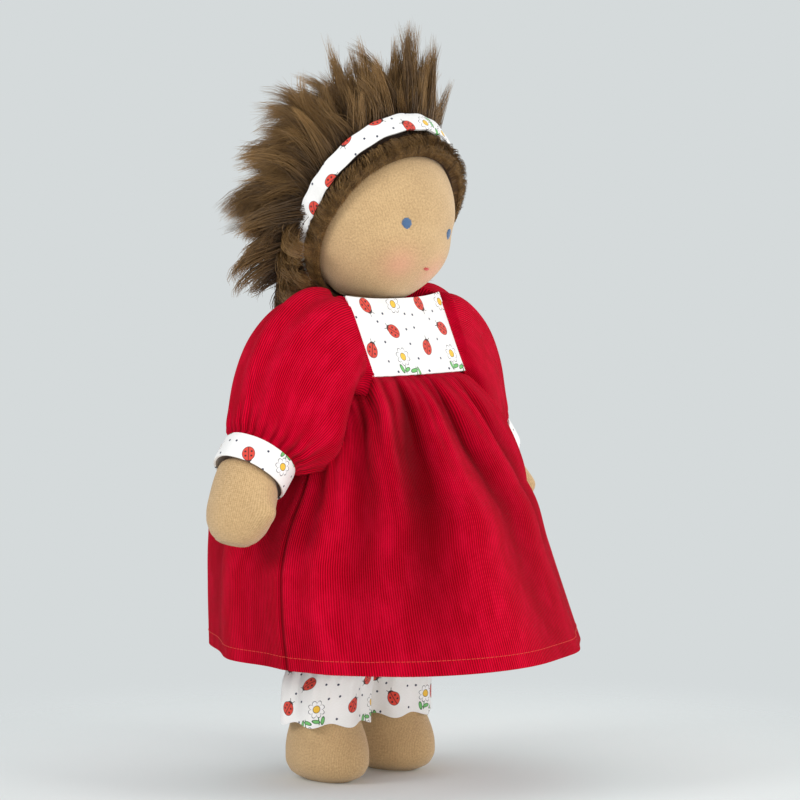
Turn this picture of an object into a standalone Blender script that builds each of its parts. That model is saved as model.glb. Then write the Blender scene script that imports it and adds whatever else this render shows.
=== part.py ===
"""A stuffed cloth doll in a gathered dress, with a turning head and swinging arms and legs.

The doll stands on its soles and faces -Y. Its right side is at -X. Sizes are in metres.
"""
import math

import bmesh
import bpy
from mathutils import Matrix, Vector

# Fits that all pieces share
FIT = 0.0004
SKIN_WALL = 0.0010
CLOTH_WALL = 0.0012

# Where the body axis stands, so that the whole doll is centred front to back
AXIS_Y = 0.0176

# Torso, from the flat hip seam to the neck rim
TORSO_HALF_WIDTH = 0.0420
TORSO_HALF_DEPTH = 0.0300
NECK_RIM_HEIGHT = 0.2560
HIP_HEIGHT = 0.1500
HIP_SEAM_RISE = 0.0015
HIP_SEAM_HALF_DEPTH = 0.0012
# height share of the torso, then shares of its half width and half depth
TORSO_SHARES = (
    (0.000, 0.93, 0.03), (0.060, 0.95, 0.16), (0.140, 0.97, 0.42), (0.220, 0.98, 0.72),
    (0.300, 1.00, 0.95), (0.400, 1.00, 1.00), (0.560, 0.96, 0.93), (0.700, 0.905, 0.87),
    (0.850, 0.900, 0.80), (0.910, 0.850, 0.72), (0.950, 0.70, 0.62), (0.980, 0.52, 0.54),
    (1.000, 0.37, 0.47),
)

# Neck: a wool ball in the top of the torso, and a stub up into the head
NECK_X = -0.0060
NECK_Y = 0.0030
NECK_SEAT_DEPTH = 0.0060
NECK_PIVOT_HEIGHT = NECK_RIM_HEIGHT - NECK_SEAT_DEPTH
NECK_BALL_RADIUS = 0.0125
NECK_STUB_RADIUS = 0.0100
NECK_STUB_TOP = 0.0160
NECK_OPENING_RADIUS = 0.0135
NECK_FIT = 0.0008
NECK_BALL_DEGREES = (12.0, 32.0, 52.0, 72.0, 92.0, 112.0, 127.0)
NECK_SEAT_DEGREES = (88.0, 68.0, 48.0, 30.0, 12.0)
TIE_THREAD_RADIUS = 0.0006
HEAD_ROLL_DEGREES = 11.5
HEAD_PITCH_DEGREES = 3.0

# Head, measured from its centre
HEAD_ABOVE_PIVOT = 0.0570
HEAD_HALF_WIDTH = 0.0410
HEAD_HALF_DEPTH = 0.0420
HEAD_HALF_HEIGHT = 0.0470
EYE_LINE_DEPTH = 0.0012
CHEEK_HEIGHT = 0.0014
EYE_RADIUS = 0.0029
EYE_THICKNESS = 0.0006
EYE_LONGITUDE_DEGREES = 23.5
EYE_LATITUDE_DEGREES = -5.0
MOUTH_HALF_LENGTH = 0.0016
MOUTH_HALF_HEIGHT = 0.0007
MOUTH_LONGITUDE_DEGREES = 9.0
MOUTH_LATITUDE_DEGREES = -32.0
# how far up the stitches' thickness, then the share of their outline there
STITCH_SHARES = ((0.0, 0.90), (0.45, 1.00), (1.0, 0.62))
WOOL_GAP = 0.0017
CORE_LID_SHARE = 0.55

# Wig: a knitted cap, with the pile in front of and behind the headband
HAIR_POLE_DEGREES = 30.0
WIG_GAP = 0.0009
CAP_WALL = 0.0008
CAP_EDGE_DEGREES = 103.5
FRINGE_EDGE_DEGREES = 102.5
FRINGE_PILE = 0.0092
FRINGE_NAPE_SHARE = 0.08
BAND_DEGREES = 84.0
BAND_WIDTH = 0.0108
BAND_WALL = 0.0016
BAND_LIFT_TOP = 0.0088
BAND_LIFT_NAPE = 0.0012
BAND_TILT = 0.0016
TUFT_LENGTH = 0.0635
TUFT_VALLEY = 0.0230
TUFT_COLUMNS = 4
TUFT_ROW_DEGREES = 10.0
NAPE_TUFT_SHARE = 0.46
SIDE_TUFT_SHARE = 0.80

# Dress: print yoke, raglan sleeves and gathered skirt
YOKE_EASE = 0.0026
YOKE_RISE = 0.0020
YOKE_HEIGHT = 0.0340
YOKE_ABOVE_NECK_RIM = 0.0005
YOKE_TOP_HEIGHT = NECK_RIM_HEIGHT + YOKE_ABOVE_NECK_RIM
YOKE_BOTTOM_HEIGHT = YOKE_TOP_HEIGHT - YOKE_HEIGHT
RAGLAN_TOP_X = 0.0250
RAGLAN_SLOPE = 0.36
YOKE_HALF_WIDTH = 0.0380
YOKE_CORNER_RISE = 0.0085
YOKE_CENTRE_RISE = 0.0035
YOKE_FRONT_BOTTOM_Y = 0.0337
YOKE_FRONT_TOP_Y = 0.0144
YOKE_FRONT_CROWN = 0.0036
YOKE_ROWS = 7
YOKE_COLUMNS = 12
BACK_ROW_SHARES = (0.0, 0.16, 0.34, 0.52, 0.68, 0.80, 0.89, 0.96)
BACK_COLUMNS = 6
STUD_RADIUS_SHARE = 0.115
STUD_THICKNESS = 0.0016
# the studs, and how far up the yoke each one lies
STUD_SHARES = (("upper", 0.60), ("lower", 0.18))
# how far up a stud's thickness, then the share of its radius there
STUD_PROFILE_SHARES = ((0.0, 0.94), (0.3, 1.0), (0.75, 0.96), (1.0, 0.72))
SKIRT_HEM_HEIGHT = 0.0710
SKIRT_HEM_TILT = 0.0045
SKIRT_HEM_TILT_DEGREES = 30.0
SKIRT_HEM_HALF_WIDTH = 0.1000
SKIRT_HEM_HALF_DEPTH = 0.1020
SKIRT_SWING_FORWARD = 0.0195
SKIRT_FOLDS = 15
SKIRT_FOLD_DEPTH = 0.0040
SKIRT_SIDE_DROP = 0.0150
SKIRT_FRONT_FULLNESS = 0.0056
SKIRT_TOP_SQUARENESS = 4.0
SKIRT_SQUARE_SHARE = 0.60
UNDERARM_START_X = 0.0355
UNDERARM_END_X = 0.0384
# height share from hem to yoke, half width, half depth, forward swing and side dent shares
SKIRT_SHARES = (
    (0.000, 1.00, 1.00, 1.00, 0.00), (0.200, 0.95, 0.96, 0.63, 0.00),
    (0.380, 0.89, 0.925, 0.32, 0.02), (0.540, 0.82, 0.89, 0.14, 0.09),
    (0.640, 0.77, 0.79, 0.10, 0.17), (0.730, 0.72, 0.69, 0.05, 0.22),
    (0.820, 0.645, 0.59, 0.02, 0.22), (0.910, 0.555, 0.48, 0.00, 0.16),
    (1.000, 0.455, 0.315, 0.00, 0.00),
)

# the skirt's level rows of points, as shares of its height
SKIRT_ROW_SHARES = (0.0, 0.13, 0.28, 0.44, 0.58, 0.70, 0.82, 0.92, 1.0)

# Arms, splayed out from the flat shoulder joint
SHOULDER_X = 0.0384
SHOULDER_ABOVE_YOKE_SEAM = 0.0185
SHOULDER_HEIGHT = YOKE_BOTTOM_HEIGHT + SHOULDER_ABOVE_YOKE_SEAM
ARM_LENGTH = 0.0842
ARM_SPLAY_DEGREES = 39.5
HAND_LENGTH = 0.0445
HAND_SPLAY_DEGREES = 20.0
ARM_RADIUS = 0.0146
HAND_HALF_WIDTH = 0.0155
HAND_HALF_DEPTH = 0.0195
THUMB_HEIGHT = 0.0055
THUMB_SHARE = 0.58
THUMB_SPREAD_SHARE = 0.20
THUMB_DEGREES = 80.0
THUMB_SPREAD_DEGREES = 24.0
# share of the arm's length, then shares of its radius sideways and front to back
ARM_SHARES = (
    (0.00, 0.90, 0.90), (0.10, 0.93, 1.00), (0.25, 0.94, 1.06), (0.45, 0.90, 1.04),
    (0.65, 0.88, 0.98), (0.85, 0.86, 0.90), (1.00, 0.86, 0.88),
)
# share of the hand's length, then shares of its half width and half depth
HAND_SHARES = (
    (0.14, 0.88, 0.78), (0.30, 0.98, 0.95), (0.48, 1.00, 1.00), (0.66, 0.97, 0.98),
    (0.82, 0.83, 0.84), (0.94, 0.55, 0.57), (1.00, 0.22, 0.24),
)
SLEEVE_PUFF = 0.0290
SLEEVE_FREE_SHARE = 0.22
SEAM_CORNERS = 0.32
UNDERARM_SHARE = 0.65
SLEEVE_FOLDS = 11
SLEEVE_FOLD_DEPTH = 0.0012
# share from raglan seam to wrist, then shares of the puff: lift, half rise up, down, and half depth
SLEEVE_SHARES = (
    (0.00, 0.00, 0.84, 0.74, 1.00), (0.08, 0.20, 0.98, 0.84, 1.06), (0.20, 0.34, 1.16, 0.935, 1.10),
    (0.35, 0.34, 1.22, 0.94, 1.08), (0.50, 0.27, 1.18, 0.92, 1.00), (0.65, 0.16, 1.04, 0.87, 0.92),
    (0.80, 0.07, 0.88, 0.81, 0.84), (0.90, 0.02, 0.74, 0.74, 0.75), (0.95, 0.00, 0.65, 0.65, 0.65),
    (1.00, 0.00, 0.65, 0.65, 0.65),
)
CUFF_HEIGHT = 0.0147
CUFF_RADIUS = 0.0208

# Legs and feet
HIP_X = 0.0215
LEG_TOP_RISE = 0.0009
LEG_TOP_HALF_DEPTH = 0.0008
LEG_HALF_WIDTH = 0.0172
LEG_HALF_DEPTH = 0.0186
FOOT_X = 0.0258
FOOT_Y = 0.0115
FOOT_LENGTH = 0.0530
FOOT_HALF_WIDTH = 0.0186
FOOT_HEIGHT = 0.0440
TOE_OUT_DEGREES = 5.0
HEEL_BACK = 0.0245
# share of the leg from hip to ankle, then shares of its half width and half depth
LEG_SHARES = (
    (0.000, 0.87, 0.043), (0.009, 0.88, 0.052), (0.060, 0.94, 0.20), (0.130, 0.98, 0.52),
    (0.205, 1.00, 0.88), (0.340, 1.02, 1.02), (0.520, 0.98, 0.98), (0.700, 0.92, 0.92),
    (0.860, 0.88, 0.86), (1.000, 0.86, 0.84),
)
# share of the foot's height, shares of its half width and length, and of its forward shift
FOOT_SHARES = (
    (0.86, 0.88, 0.73, 0.25), (0.70, 0.94, 0.81, 0.55), (0.52, 0.99, 0.94, 0.82),
    (0.34, 1.00, 1.00, 0.98), (0.17, 0.95, 0.96, 1.00), (0.06, 0.80, 0.85, 1.00),
    (0.00, 0.62, 0.70, 1.00),
)

# Bloomers under the skirt
BLOOMERS_WAIST_SHARE = 0.4966
BLOOMERS_WAIST_HEIGHT = HIP_HEIGHT + (YOKE_BOTTOM_HEIGHT - HIP_HEIGHT) * BLOOMERS_WAIST_SHARE
BLOOMERS_EASE = 0.0052
BLOOMERS_CROTCH_RISE = 0.0010
BLOOMERS_CROTCH_HEIGHT = HIP_HEIGHT + BLOOMERS_CROTCH_RISE
WAIST_SNUG_SHARE = 0.12
BLOOMERS_HALF_WIDTH = 0.0206
BLOOMERS_HALF_DEPTH = 0.0265
ELASTIC_HEIGHT = 0.0680
RUFFLE_HEIGHT = 0.0330
RUFFLE_RADIUS = 0.0240
RUFFLE_WAVES = 7
RUFFLE_WAVE_DEPTH = 0.0013
ELASTIC_RADIUS = 0.0008

# How finely the soft outlines are divided
TORSO_SIDES = 24
LIMB_SIDES = 16
HEAD_SIDES = 28
WIG_SIDES = 32
SKIRT_SIDES = 56
SLEEVE_SIDES = 20
RUFFLE_SIDES = 28
NECK_SIDES = 20
STITCH_SIDES = 14
STUD_SIDES = 16
THREAD_STEPS = 16
THREAD_SIDES = 5
SQUARENESS = 2.3
SMOOTH_DEGREES = 60.0


def material(name, colour, roughness):
    """A plain fabric colour for the pieces that share it."""
    made = bpy.data.materials.new(name)
    made.use_nodes = True
    shader = made.node_tree.nodes["Principled BSDF"]
    shader.inputs["Base Color"].default_value = (*colour, 1.0)
    shader.inputs["Roughness"].default_value = roughness
    shader.inputs["Metallic"].default_value = 0.0
    return made


def carrier_at(name, place, parent=None, turn=None):
    """An empty that carries pieces: the whole doll, or one moving body on its joint's axis."""
    guide = bpy.data.objects.new(name, None)
    bpy.context.scene.collection.objects.link(guide)
    guide.parent = parent
    guide.matrix_local = Matrix.Translation(place) @ (turn or Matrix.Identity(4))
    bpy.context.view_layer.update()
    return guide


def rings_to_faces(rings, loop):
    """Faces between rings of equal point counts, with the two ends capped or joined."""
    sides = len(rings[0])
    faces = []
    count = len(rings)
    for row in range(count if loop else count - 1):
        low = row * sides
        high = ((row + 1) % count) * sides
        for side in range(sides):
            after = (side + 1) % sides
            faces.append((low + side, low + after, high + after, high + side))
    if not loop:
        faces.append(tuple(reversed(range(sides))))
        last = (count - 1) * sides
        faces.append(tuple(range(last, last + sides)))
    return faces


def solid(name, points, faces, finish, carrier):
    """A closed piece with its faces turned outwards, moved to its carrier's frame."""
    mesh = bpy.data.meshes.new(name)
    mesh.from_pydata([tuple(point) for point in points], [], faces)
    mesh.validate()
    work = bmesh.new()
    work.from_mesh(mesh)
    bmesh.ops.triangulate(work, faces=work.faces, quad_method="SHORT_EDGE")
    bmesh.ops.recalc_face_normals(work, faces=work.faces)
    work.to_mesh(mesh)
    work.free()
    mesh.shade_smooth()
    mesh.set_sharp_from_angle(angle=math.radians(SMOOTH_DEGREES))
    mesh.materials.append(finish)
    piece = bpy.data.objects.new(name, mesh)
    bpy.context.scene.collection.objects.link(piece)
    doll_to_world = Matrix.Translation((0.0, AXIS_Y, 0.0))
    mesh.transform(carrier.matrix_world.inverted() @ doll_to_world)
    piece.parent = carrier
    return piece


def ring_loft(name, rings, finish, carrier, loop=False):
    """A solid skinned over a run of rings."""
    points = [point for ring in rings for point in ring]
    return solid(name, points, rings_to_faces(rings, loop), finish, carrier)


def shell(name, outer, inner, finish, carrier):
    """A thin walled tube: its outer rings, then its inner rings back, joined in a loop."""
    return ring_loft(name, outer + inner[::-1], finish, carrier, loop=True)


def oval_point(angle, half_width, half_depth, squareness=SQUARENESS):
    """A point of a level outline with slightly squared ends, at an angle from the left side."""
    across = math.cos(angle)
    along = math.sin(angle)
    bulge = (abs(across) ** squareness + abs(along) ** squareness) ** (-1.0 / squareness)
    return Vector((half_width * across * bulge, half_depth * along * bulge, 0.0))


def oval(centre, half_width, half_depth, sides, squareness=SQUARENESS):
    """A level ring with slightly squared ends."""
    angles = [math.tau * (side + 0.5) / sides for side in range(sides)]
    return [centre + oval_point(angle, half_width, half_depth, squareness) for angle in angles]


def between(rows, share):
    """The row of values at a share of the run, read between the listed rows."""
    ordered = sorted(rows)
    if share <= ordered[0][0]:
        return ordered[0][1:]
    for lower, upper in zip(ordered, ordered[1:]):
        if share <= upper[0]:
            part = (share - lower[0]) / (upper[0] - lower[0])
            part = part * part * (3.0 - 2.0 * part) * 0.35 + part * 0.65
            return tuple(a + (b - a) * part for a, b in zip(lower[1:], upper[1:]))
    return ordered[-1][1:]


def torso_size(height):
    """Half width and half depth of the torso's skin at a height."""
    bottom = HIP_HEIGHT + HIP_SEAM_RISE
    share = (height - bottom) / (NECK_RIM_HEIGHT - bottom)
    width_share, depth_share = between(TORSO_SHARES, share)
    return TORSO_HALF_WIDTH * width_share, TORSO_HALF_DEPTH * depth_share


def torso_rings(inset, sides, rows, top_inset=0.0):
    """Level rings of the torso from its hip seam up, inside its skin by an inset."""
    bottom = HIP_HEIGHT + HIP_SEAM_RISE
    rings = []
    for share in rows:
        height = bottom + (NECK_RIM_HEIGHT - bottom - top_inset) * share
        width, depth = torso_size(height)
        deep = max(depth - inset, HIP_SEAM_HALF_DEPTH * 0.35)
        lean = between(((0.0, 0.0), (0.9, 0.0), (1.0, 1.0)), share)[0]
        centre = Vector((NECK_X * lean, NECK_Y * lean, height))
        rings.append(oval(centre, width - inset, deep, sides))
    return rings


def circle(centre, radius, sides):
    """A level round ring."""
    return oval(centre, radius, radius, sides, squareness=2.0)


def make_torso(skin, wool, carrier):
    """The stuffed torso: a skin open at the neck, and the wool inside with the neck's seat."""
    rows = [row[0] for row in TORSO_SHARES]
    outer = torso_rings(0.0, TORSO_SIDES, rows)
    rim = Vector((NECK_X, NECK_Y, NECK_RIM_HEIGHT))
    outer.append(circle(rim, NECK_OPENING_RADIUS, TORSO_SIDES))
    inner_rows = [0.14, 0.22, 0.30, 0.40, 0.56, 0.70, 0.85]
    inner = torso_rings(SKIN_WALL, TORSO_SIDES, inner_rows)
    under_rim = rim - Vector((0.0, 0.0, SKIN_WALL))
    inner.append(circle(under_rim, NECK_OPENING_RADIUS, TORSO_SIDES))
    cup_rings = inner + outer[::-1]
    ring_loft("torso_skin", cup_rings, skin, carrier)
    gap = SKIN_WALL + FIT
    core = torso_rings(gap, TORSO_SIDES, [inner_rows[0] * 1.15] + inner_rows[1:])
    seat = Vector((NECK_X, NECK_Y, NECK_PIVOT_HEIGHT))
    seat_radius = NECK_BALL_RADIUS + NECK_FIT
    for degrees in NECK_SEAT_DEGREES:
        angle = math.radians(degrees)
        drop = Vector((0.0, 0.0, seat_radius * math.cos(angle)))
        core.append(circle(seat - drop, seat_radius * math.sin(angle), TORSO_SIDES))
    ring_loft("torso_stuffing", core, wool, carrier)


def head_turn():
    """The head's lean: rolled to the doll's left and nodded a little forward."""
    roll = Matrix.Rotation(math.radians(HEAD_ROLL_DEGREES), 4, "Y")
    pitch = Matrix.Rotation(math.radians(HEAD_PITCH_DEGREES), 4, "X")
    return roll @ pitch


def neck_pivot():
    """The centre of the neck's ball."""
    return Vector((NECK_X, NECK_Y, NECK_PIVOT_HEIGHT))


def on_neck(point):
    """A point of the upright neck's frame, placed in the doll's leaning head."""
    return neck_pivot() + head_turn() @ Vector(point)


def in_head(point):
    """A point measured from the head's centre, placed in the doll."""
    return on_neck(Vector(point) + Vector((0.0, 0.0, HEAD_ABOVE_PIVOT)))


def direction(longitude, latitude):
    """A direction in the head: longitude 0 looks out of the face, plus to the doll's left."""
    flat = math.cos(latitude)
    return Vector((flat * math.sin(longitude), -flat * math.cos(longitude), math.sin(latitude)))


def soft_step(value, width):
    """A bump of height 1 at zero that dies away within about one width."""
    return math.exp(-(value / width) ** 2)


def head_radius(way):
    """Distance from the head's centre to its skin along a direction."""
    scaled = Vector((way.x / HEAD_HALF_WIDTH, way.y / HEAD_HALF_DEPTH, way.z / HEAD_HALF_HEIGHT))
    radius = 1.0 / scaled.length
    longitude = math.atan2(way.x, -way.y)
    latitude = math.asin(max(-1.0, min(1.0, way.z)))
    face = soft_step(longitude, math.radians(62.0))
    line = soft_step(latitude - math.radians(-3.0), math.radians(9.0))
    radius -= EYE_LINE_DEPTH * line * (0.45 + 0.55 * face)
    for side in (-1.0, 1.0):
        across = soft_step(longitude - side * math.radians(31.0), math.radians(24.0))
        down = soft_step(latitude - math.radians(-27.0), math.radians(17.0))
        radius += CHEEK_HEIGHT * across * down
    return radius


def polar_way(pole, polar, azimuth):
    """A direction at a polar angle from a pole, turned about it by an azimuth."""
    side = Vector((1.0, 0.0, 0.0))
    up = side.cross(pole)
    flat = side * math.cos(azimuth) + up * math.sin(azimuth)
    return pole * math.cos(polar) + flat * math.sin(polar)


def polar_ring(pole, polar, sides, reach):
    """A ring round a pole of the head, whose distance is given by reach(way, polar, azimuth)."""
    ring = []
    for side in range(sides):
        azimuth = math.tau * side / sides
        way = polar_way(pole, polar, azimuth)
        ring.append(in_head(way * reach(way, polar, azimuth)))
    return ring


def head_cover(lift):
    """A reach that lies a constant distance off the head's skin."""
    def reach(way, polar, azimuth):
        return head_radius(way) + lift
    return reach


def spread(start, end, steps):
    """Evenly spaced angles in degrees, returned in radians."""
    return [math.radians(start + (end - start) * step / steps) for step in range(steps + 1)]


def make_head(skin, wool, carrier):
    """The head's skin, open at the neck, over its ball of wool."""
    pole = Vector((0.0, 0.0, 1.0))
    opening = math.pi - math.asin((NECK_STUB_RADIUS + 2.0 * SKIN_WALL) / HEAD_HALF_WIDTH)
    reach_out = head_cover(0.0)
    reach_in = head_cover(-SKIN_WALL)
    outer_angles = spread(8.0, math.degrees(opening), 14)
    inner_angles = outer_angles[::2] + [outer_angles[-1]]
    inner = [polar_ring(pole, polar, HEAD_SIDES, reach_in) for polar in inner_angles]
    outer = [polar_ring(pole, polar, HEAD_SIDES, reach_out) for polar in outer_angles]
    ring_loft("head_skin", inner + outer[::-1], skin, carrier)
    reach_core = head_cover(-SKIN_WALL - WOOL_GAP)
    low = math.asin((NECK_STUB_RADIUS + HEAD_HALF_DEPTH * 0.17) / HEAD_HALF_WIDTH)
    core_angles = spread(12.0, math.degrees(math.pi - low), 9)
    core = [polar_ring(pole, polar, HEAD_SIDES // 2, reach_core) for polar in core_angles]
    over_stub = NECK_STUB_TOP + FIT * 2.0
    lid = []
    for point in core[-1]:
        flat = head_turn().inverted() @ (point - neck_pivot()) * CORE_LID_SHARE
        lid.append(on_neck((flat.x, flat.y, over_stub)))
    core.append(lid)
    ring_loft("head_wool_core", core, wool, carrier)


def surface_patch(name, longitude, latitude, half_length, half_height, finish, carrier):
    """A small raised oval of satin stitch that lies on the face."""
    way = direction(math.radians(longitude), math.radians(latitude))
    centre = way * (head_radius(way) + FIT)
    side = Vector((0.0, 0.0, 1.0)).cross(way).normalized()
    up = way.cross(side)
    rings = []
    for lift, spread_share in STITCH_SHARES:
        ring = []
        for step in range(STITCH_SIDES):
            angle = math.tau * step / STITCH_SIDES
            flat = side * (half_length * math.cos(angle)) + up * (half_height * math.sin(angle))
            ring.append(in_head(centre + flat * spread_share + way * (EYE_THICKNESS * lift)))
        rings.append(ring)
    return ring_loft(name, rings, finish, carrier)


def hair_pole():
    """The direction at the back of the crown that the wig is centred on."""
    rise = math.radians(HAIR_POLE_DEGREES)
    return Vector((0.0, math.cos(rise), math.sin(rise)))


def top_share(azimuth):
    """1 over the forehead, 0 at the nape, on a ring about the hair's pole."""
    return 0.5 + 0.5 * math.sin(azimuth)


def fringe_reach(way, polar, azimuth):
    """The smooth pile in front of the headband."""
    nape = FRINGE_NAPE_SHARE
    pile = FRINGE_PILE * (nape + (1.0 - nape) * top_share(azimuth) ** 0.8)
    edge = math.radians(FRINGE_EDGE_DEGREES)
    back = math.radians(BAND_DEGREES)
    across = (edge - polar) / (edge - back)
    crown = 0.35 + 0.65 * math.sin(math.pi * min(1.0, 0.12 + 0.75 * across))
    return head_radius(way) + cap_top() + pile * crown


def half_band():
    """Half the headband's width, as an angle at the head's centre."""
    return BAND_WIDTH / (HEAD_HALF_HEIGHT + BAND_LIFT_TOP) * 0.5


def band_reach(lift):
    """The headband's distance from the head's centre: its back edge stands out most."""
    def reach(way, polar, azimuth):
        rise = BAND_LIFT_NAPE + (BAND_LIFT_TOP - BAND_LIFT_NAPE) * top_share(azimuth) ** 1.5
        tilt = BAND_TILT * (math.radians(BAND_DEGREES) - polar) / half_band()
        return head_radius(way) + cap_top() + rise + tilt + lift
    return reach


def cap_top():
    """How far off the head's skin the pile starts, clear of the knitted cap."""
    return WIG_GAP + CAP_WALL + WIG_GAP


def tuft_reach(way, polar, azimuth):
    """The wild pile behind the headband: long tufts with valleys between them."""
    column = round(azimuth / math.tau * WIG_SIDES)
    row = round(polar / math.radians(TUFT_ROW_DEGREES))
    spike = 1.0 if (column + row) % TUFT_COLUMNS == 0 and row % 2 == 1 else 0.0
    top = top_share(azimuth)
    length_share = NAPE_TUFT_SHARE + (SIDE_TUFT_SHARE - NAPE_TUFT_SHARE) * min(1.0, 2.0 * top)
    length_share += (1.0 - SIDE_TUFT_SHARE) * max(0.0, 2.0 * top - 1.0)
    length_share *= 0.90 + 0.10 * math.sin(column * 2.4 + row * 1.7)
    pile = TUFT_VALLEY + (TUFT_LENGTH - TUFT_VALLEY) * spike
    rim = math.radians(BAND_DEGREES) - polar
    grow = min(1.0, 0.35 + rim / math.radians(26.0))
    return head_radius(way) + cap_top() + pile * length_share * grow


def make_wig(pile, knit, print_cloth, carrier):
    """The knitted cap, the pile in two masses and the headband between them."""
    pole = hair_pole()
    cap_out = head_cover(WIG_GAP + CAP_WALL)
    cap_in = head_cover(WIG_GAP)
    angles = spread(TUFT_ROW_DEGREES, CAP_EDGE_DEGREES, 6)
    inner = [polar_ring(pole, polar, WIG_SIDES, cap_in) for polar in angles]
    outer = [polar_ring(pole, polar, WIG_SIDES, cap_out) for polar in angles]
    ring_loft("wig_cap", inner + outer[::-1], knit, carrier)
    base = head_cover(cap_top())
    half = math.degrees(half_band())
    edge_gap = math.degrees(WIG_GAP / HEAD_HALF_HEIGHT)
    front = spread(BAND_DEGREES + half + edge_gap, FRINGE_EDGE_DEGREES, 3)
    outer = [polar_ring(pole, polar, WIG_SIDES, fringe_reach) for polar in front]
    inner = [polar_ring(pole, polar, WIG_SIDES, base) for polar in front[::2]]
    inner.append(polar_ring(pole, front[-1], WIG_SIDES, base))
    shell("hair_front", outer, inner, pile, carrier)
    rim = BAND_DEGREES - half - edge_gap
    rows = round(rim / TUFT_ROW_DEGREES)
    back = spread(TUFT_ROW_DEGREES, TUFT_ROW_DEGREES * (rows - 1), rows - 2) + [math.radians(rim)]
    outer = [polar_ring(pole, polar, WIG_SIDES, tuft_reach) for polar in back]
    inner = [polar_ring(pole, polar, WIG_SIDES, base) for polar in back]
    ring_loft("hair_back", inner + outer[::-1], pile, carrier)
    across = spread(BAND_DEGREES - half, BAND_DEGREES + half, 2)
    outer = [polar_ring(pole, polar, WIG_SIDES, band_reach(BAND_WALL)) for polar in across]
    inner = [polar_ring(pole, polar, WIG_SIDES, band_reach(0.0)) for polar in across[::2]]
    shell("headband", outer, inner, print_cloth, carrier)


def make_neck(skin, neck_carrier):
    """The neck's ball in the torso and its stub up into the head."""
    rings = []
    for degrees in NECK_BALL_DEGREES:
        angle = math.radians(degrees)
        radius = NECK_BALL_RADIUS * math.sin(angle)
        height = -NECK_BALL_RADIUS * math.cos(angle)
        rings.append([on_neck(point) for point in circle(Vector((0.0, 0.0, height)), radius, NECK_SIDES)])
    for height in (NECK_STUB_TOP * 0.75, NECK_STUB_TOP):
        ring = circle(Vector((0.0, 0.0, height)), NECK_STUB_RADIUS, NECK_SIDES)
        rings.append([on_neck(point) for point in ring])
    ring_loft("neck", rings, skin, neck_carrier)


def make_tie(thread, carrier):
    """The thread wound round the neck under the head."""
    height = NECK_STUB_TOP * 0.72
    reach = NECK_STUB_RADIUS + FIT + TIE_THREAD_RADIUS
    rings = []
    for step in range(THREAD_STEPS):
        turn = math.tau * step / THREAD_STEPS
        ring = []
        for side in range(THREAD_SIDES):
            angle = math.tau * side / THREAD_SIDES
            radius = reach + TIE_THREAD_RADIUS * math.cos(angle)
            rise = height + TIE_THREAD_RADIUS * math.sin(angle)
            ring.append(on_neck((radius * math.cos(turn), radius * math.sin(turn), rise)))
        rings.append(ring)
    ring_loft("neck_tie", rings, thread, carrier, loop=True)


def arm_frame(distance):
    """Centre, sideways direction and run direction of the right arm at a distance along it."""
    arm = math.radians(ARM_SPLAY_DEGREES)
    hand = math.radians(HAND_SPLAY_DEGREES)
    start = Vector((-SHOULDER_X, 0.0, SHOULDER_HEIGHT))
    along_arm = Vector((-math.sin(arm), 0.0, -math.cos(arm)))
    along_hand = Vector((-math.sin(hand), 0.0, -math.cos(hand)))
    straight = ARM_LENGTH + CUFF_HEIGHT * 0.5
    beyond = max(0.0, distance - straight)
    centre = start + along_arm * min(distance, straight) + along_hand * beyond
    shoulder_share = max(0.0, 1.0 - distance / (ARM_LENGTH * 0.35))
    hand_share = min(1.0, beyond / (HAND_LENGTH * 0.4))
    tilt = arm + (math.pi / 2.0 - arm) * shoulder_share + (hand - arm) * hand_share
    run = Vector((-math.sin(tilt), 0.0, -math.cos(tilt)))
    side = Vector((-math.cos(tilt), 0.0, math.sin(tilt)))
    return centre, side, run


def arm_ring(distance, half_width, half_depth, sides, bump=None):
    """A ring square to the right arm, whose bump(angle) adds to its radius."""
    centre, side, run = arm_frame(distance)
    ring = []
    for step in range(sides):
        angle = math.tau * (step + 0.5) / sides
        extra = bump(angle) if bump else 0.0
        across = side * ((half_width + extra) * math.cos(angle))
        deep = Vector((0.0, -(half_depth + extra) * math.sin(angle), 0.0))
        ring.append(centre + across + deep)
    return ring


def mirrored(rings, side):
    """Rings of the right side, or their mirror image for the left."""
    if side < 0:
        return rings
    return [[Vector((-point.x, point.y, point.z)) for point in ring[::-1]] for ring in rings]


def arm_rings(inset, sides, arm_rows, hand_rows):
    """The right arm's rings from shoulder to finger tips, inside its skin by an inset."""
    rings = []
    for share in arm_rows:
        wide, deep = between(ARM_SHARES, share)
        rings.append(arm_ring(ARM_LENGTH * share, ARM_RADIUS * wide - inset,
                              ARM_RADIUS * deep - inset, sides))
    for share in hand_rows:
        wide, deep = between(HAND_SHARES, share)
        along = soft_step(share - THUMB_SHARE, THUMB_SPREAD_SHARE)

        def thumb(angle):
            off_middle = angle - math.radians(THUMB_DEGREES)
            return THUMB_HEIGHT * along * soft_step(off_middle, math.radians(THUMB_SPREAD_DEGREES))

        half_width = max(HAND_HALF_WIDTH * wide - inset, inset)
        half_depth = max(HAND_HALF_DEPTH * deep - inset, inset)
        shift = min(1.0, 1.0 - (inset / HAND_LENGTH) * share)
        rings.append(arm_ring(ARM_LENGTH + HAND_LENGTH * share * shift, half_width, half_depth,
                              sides, thumb))
    return rings


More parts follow.
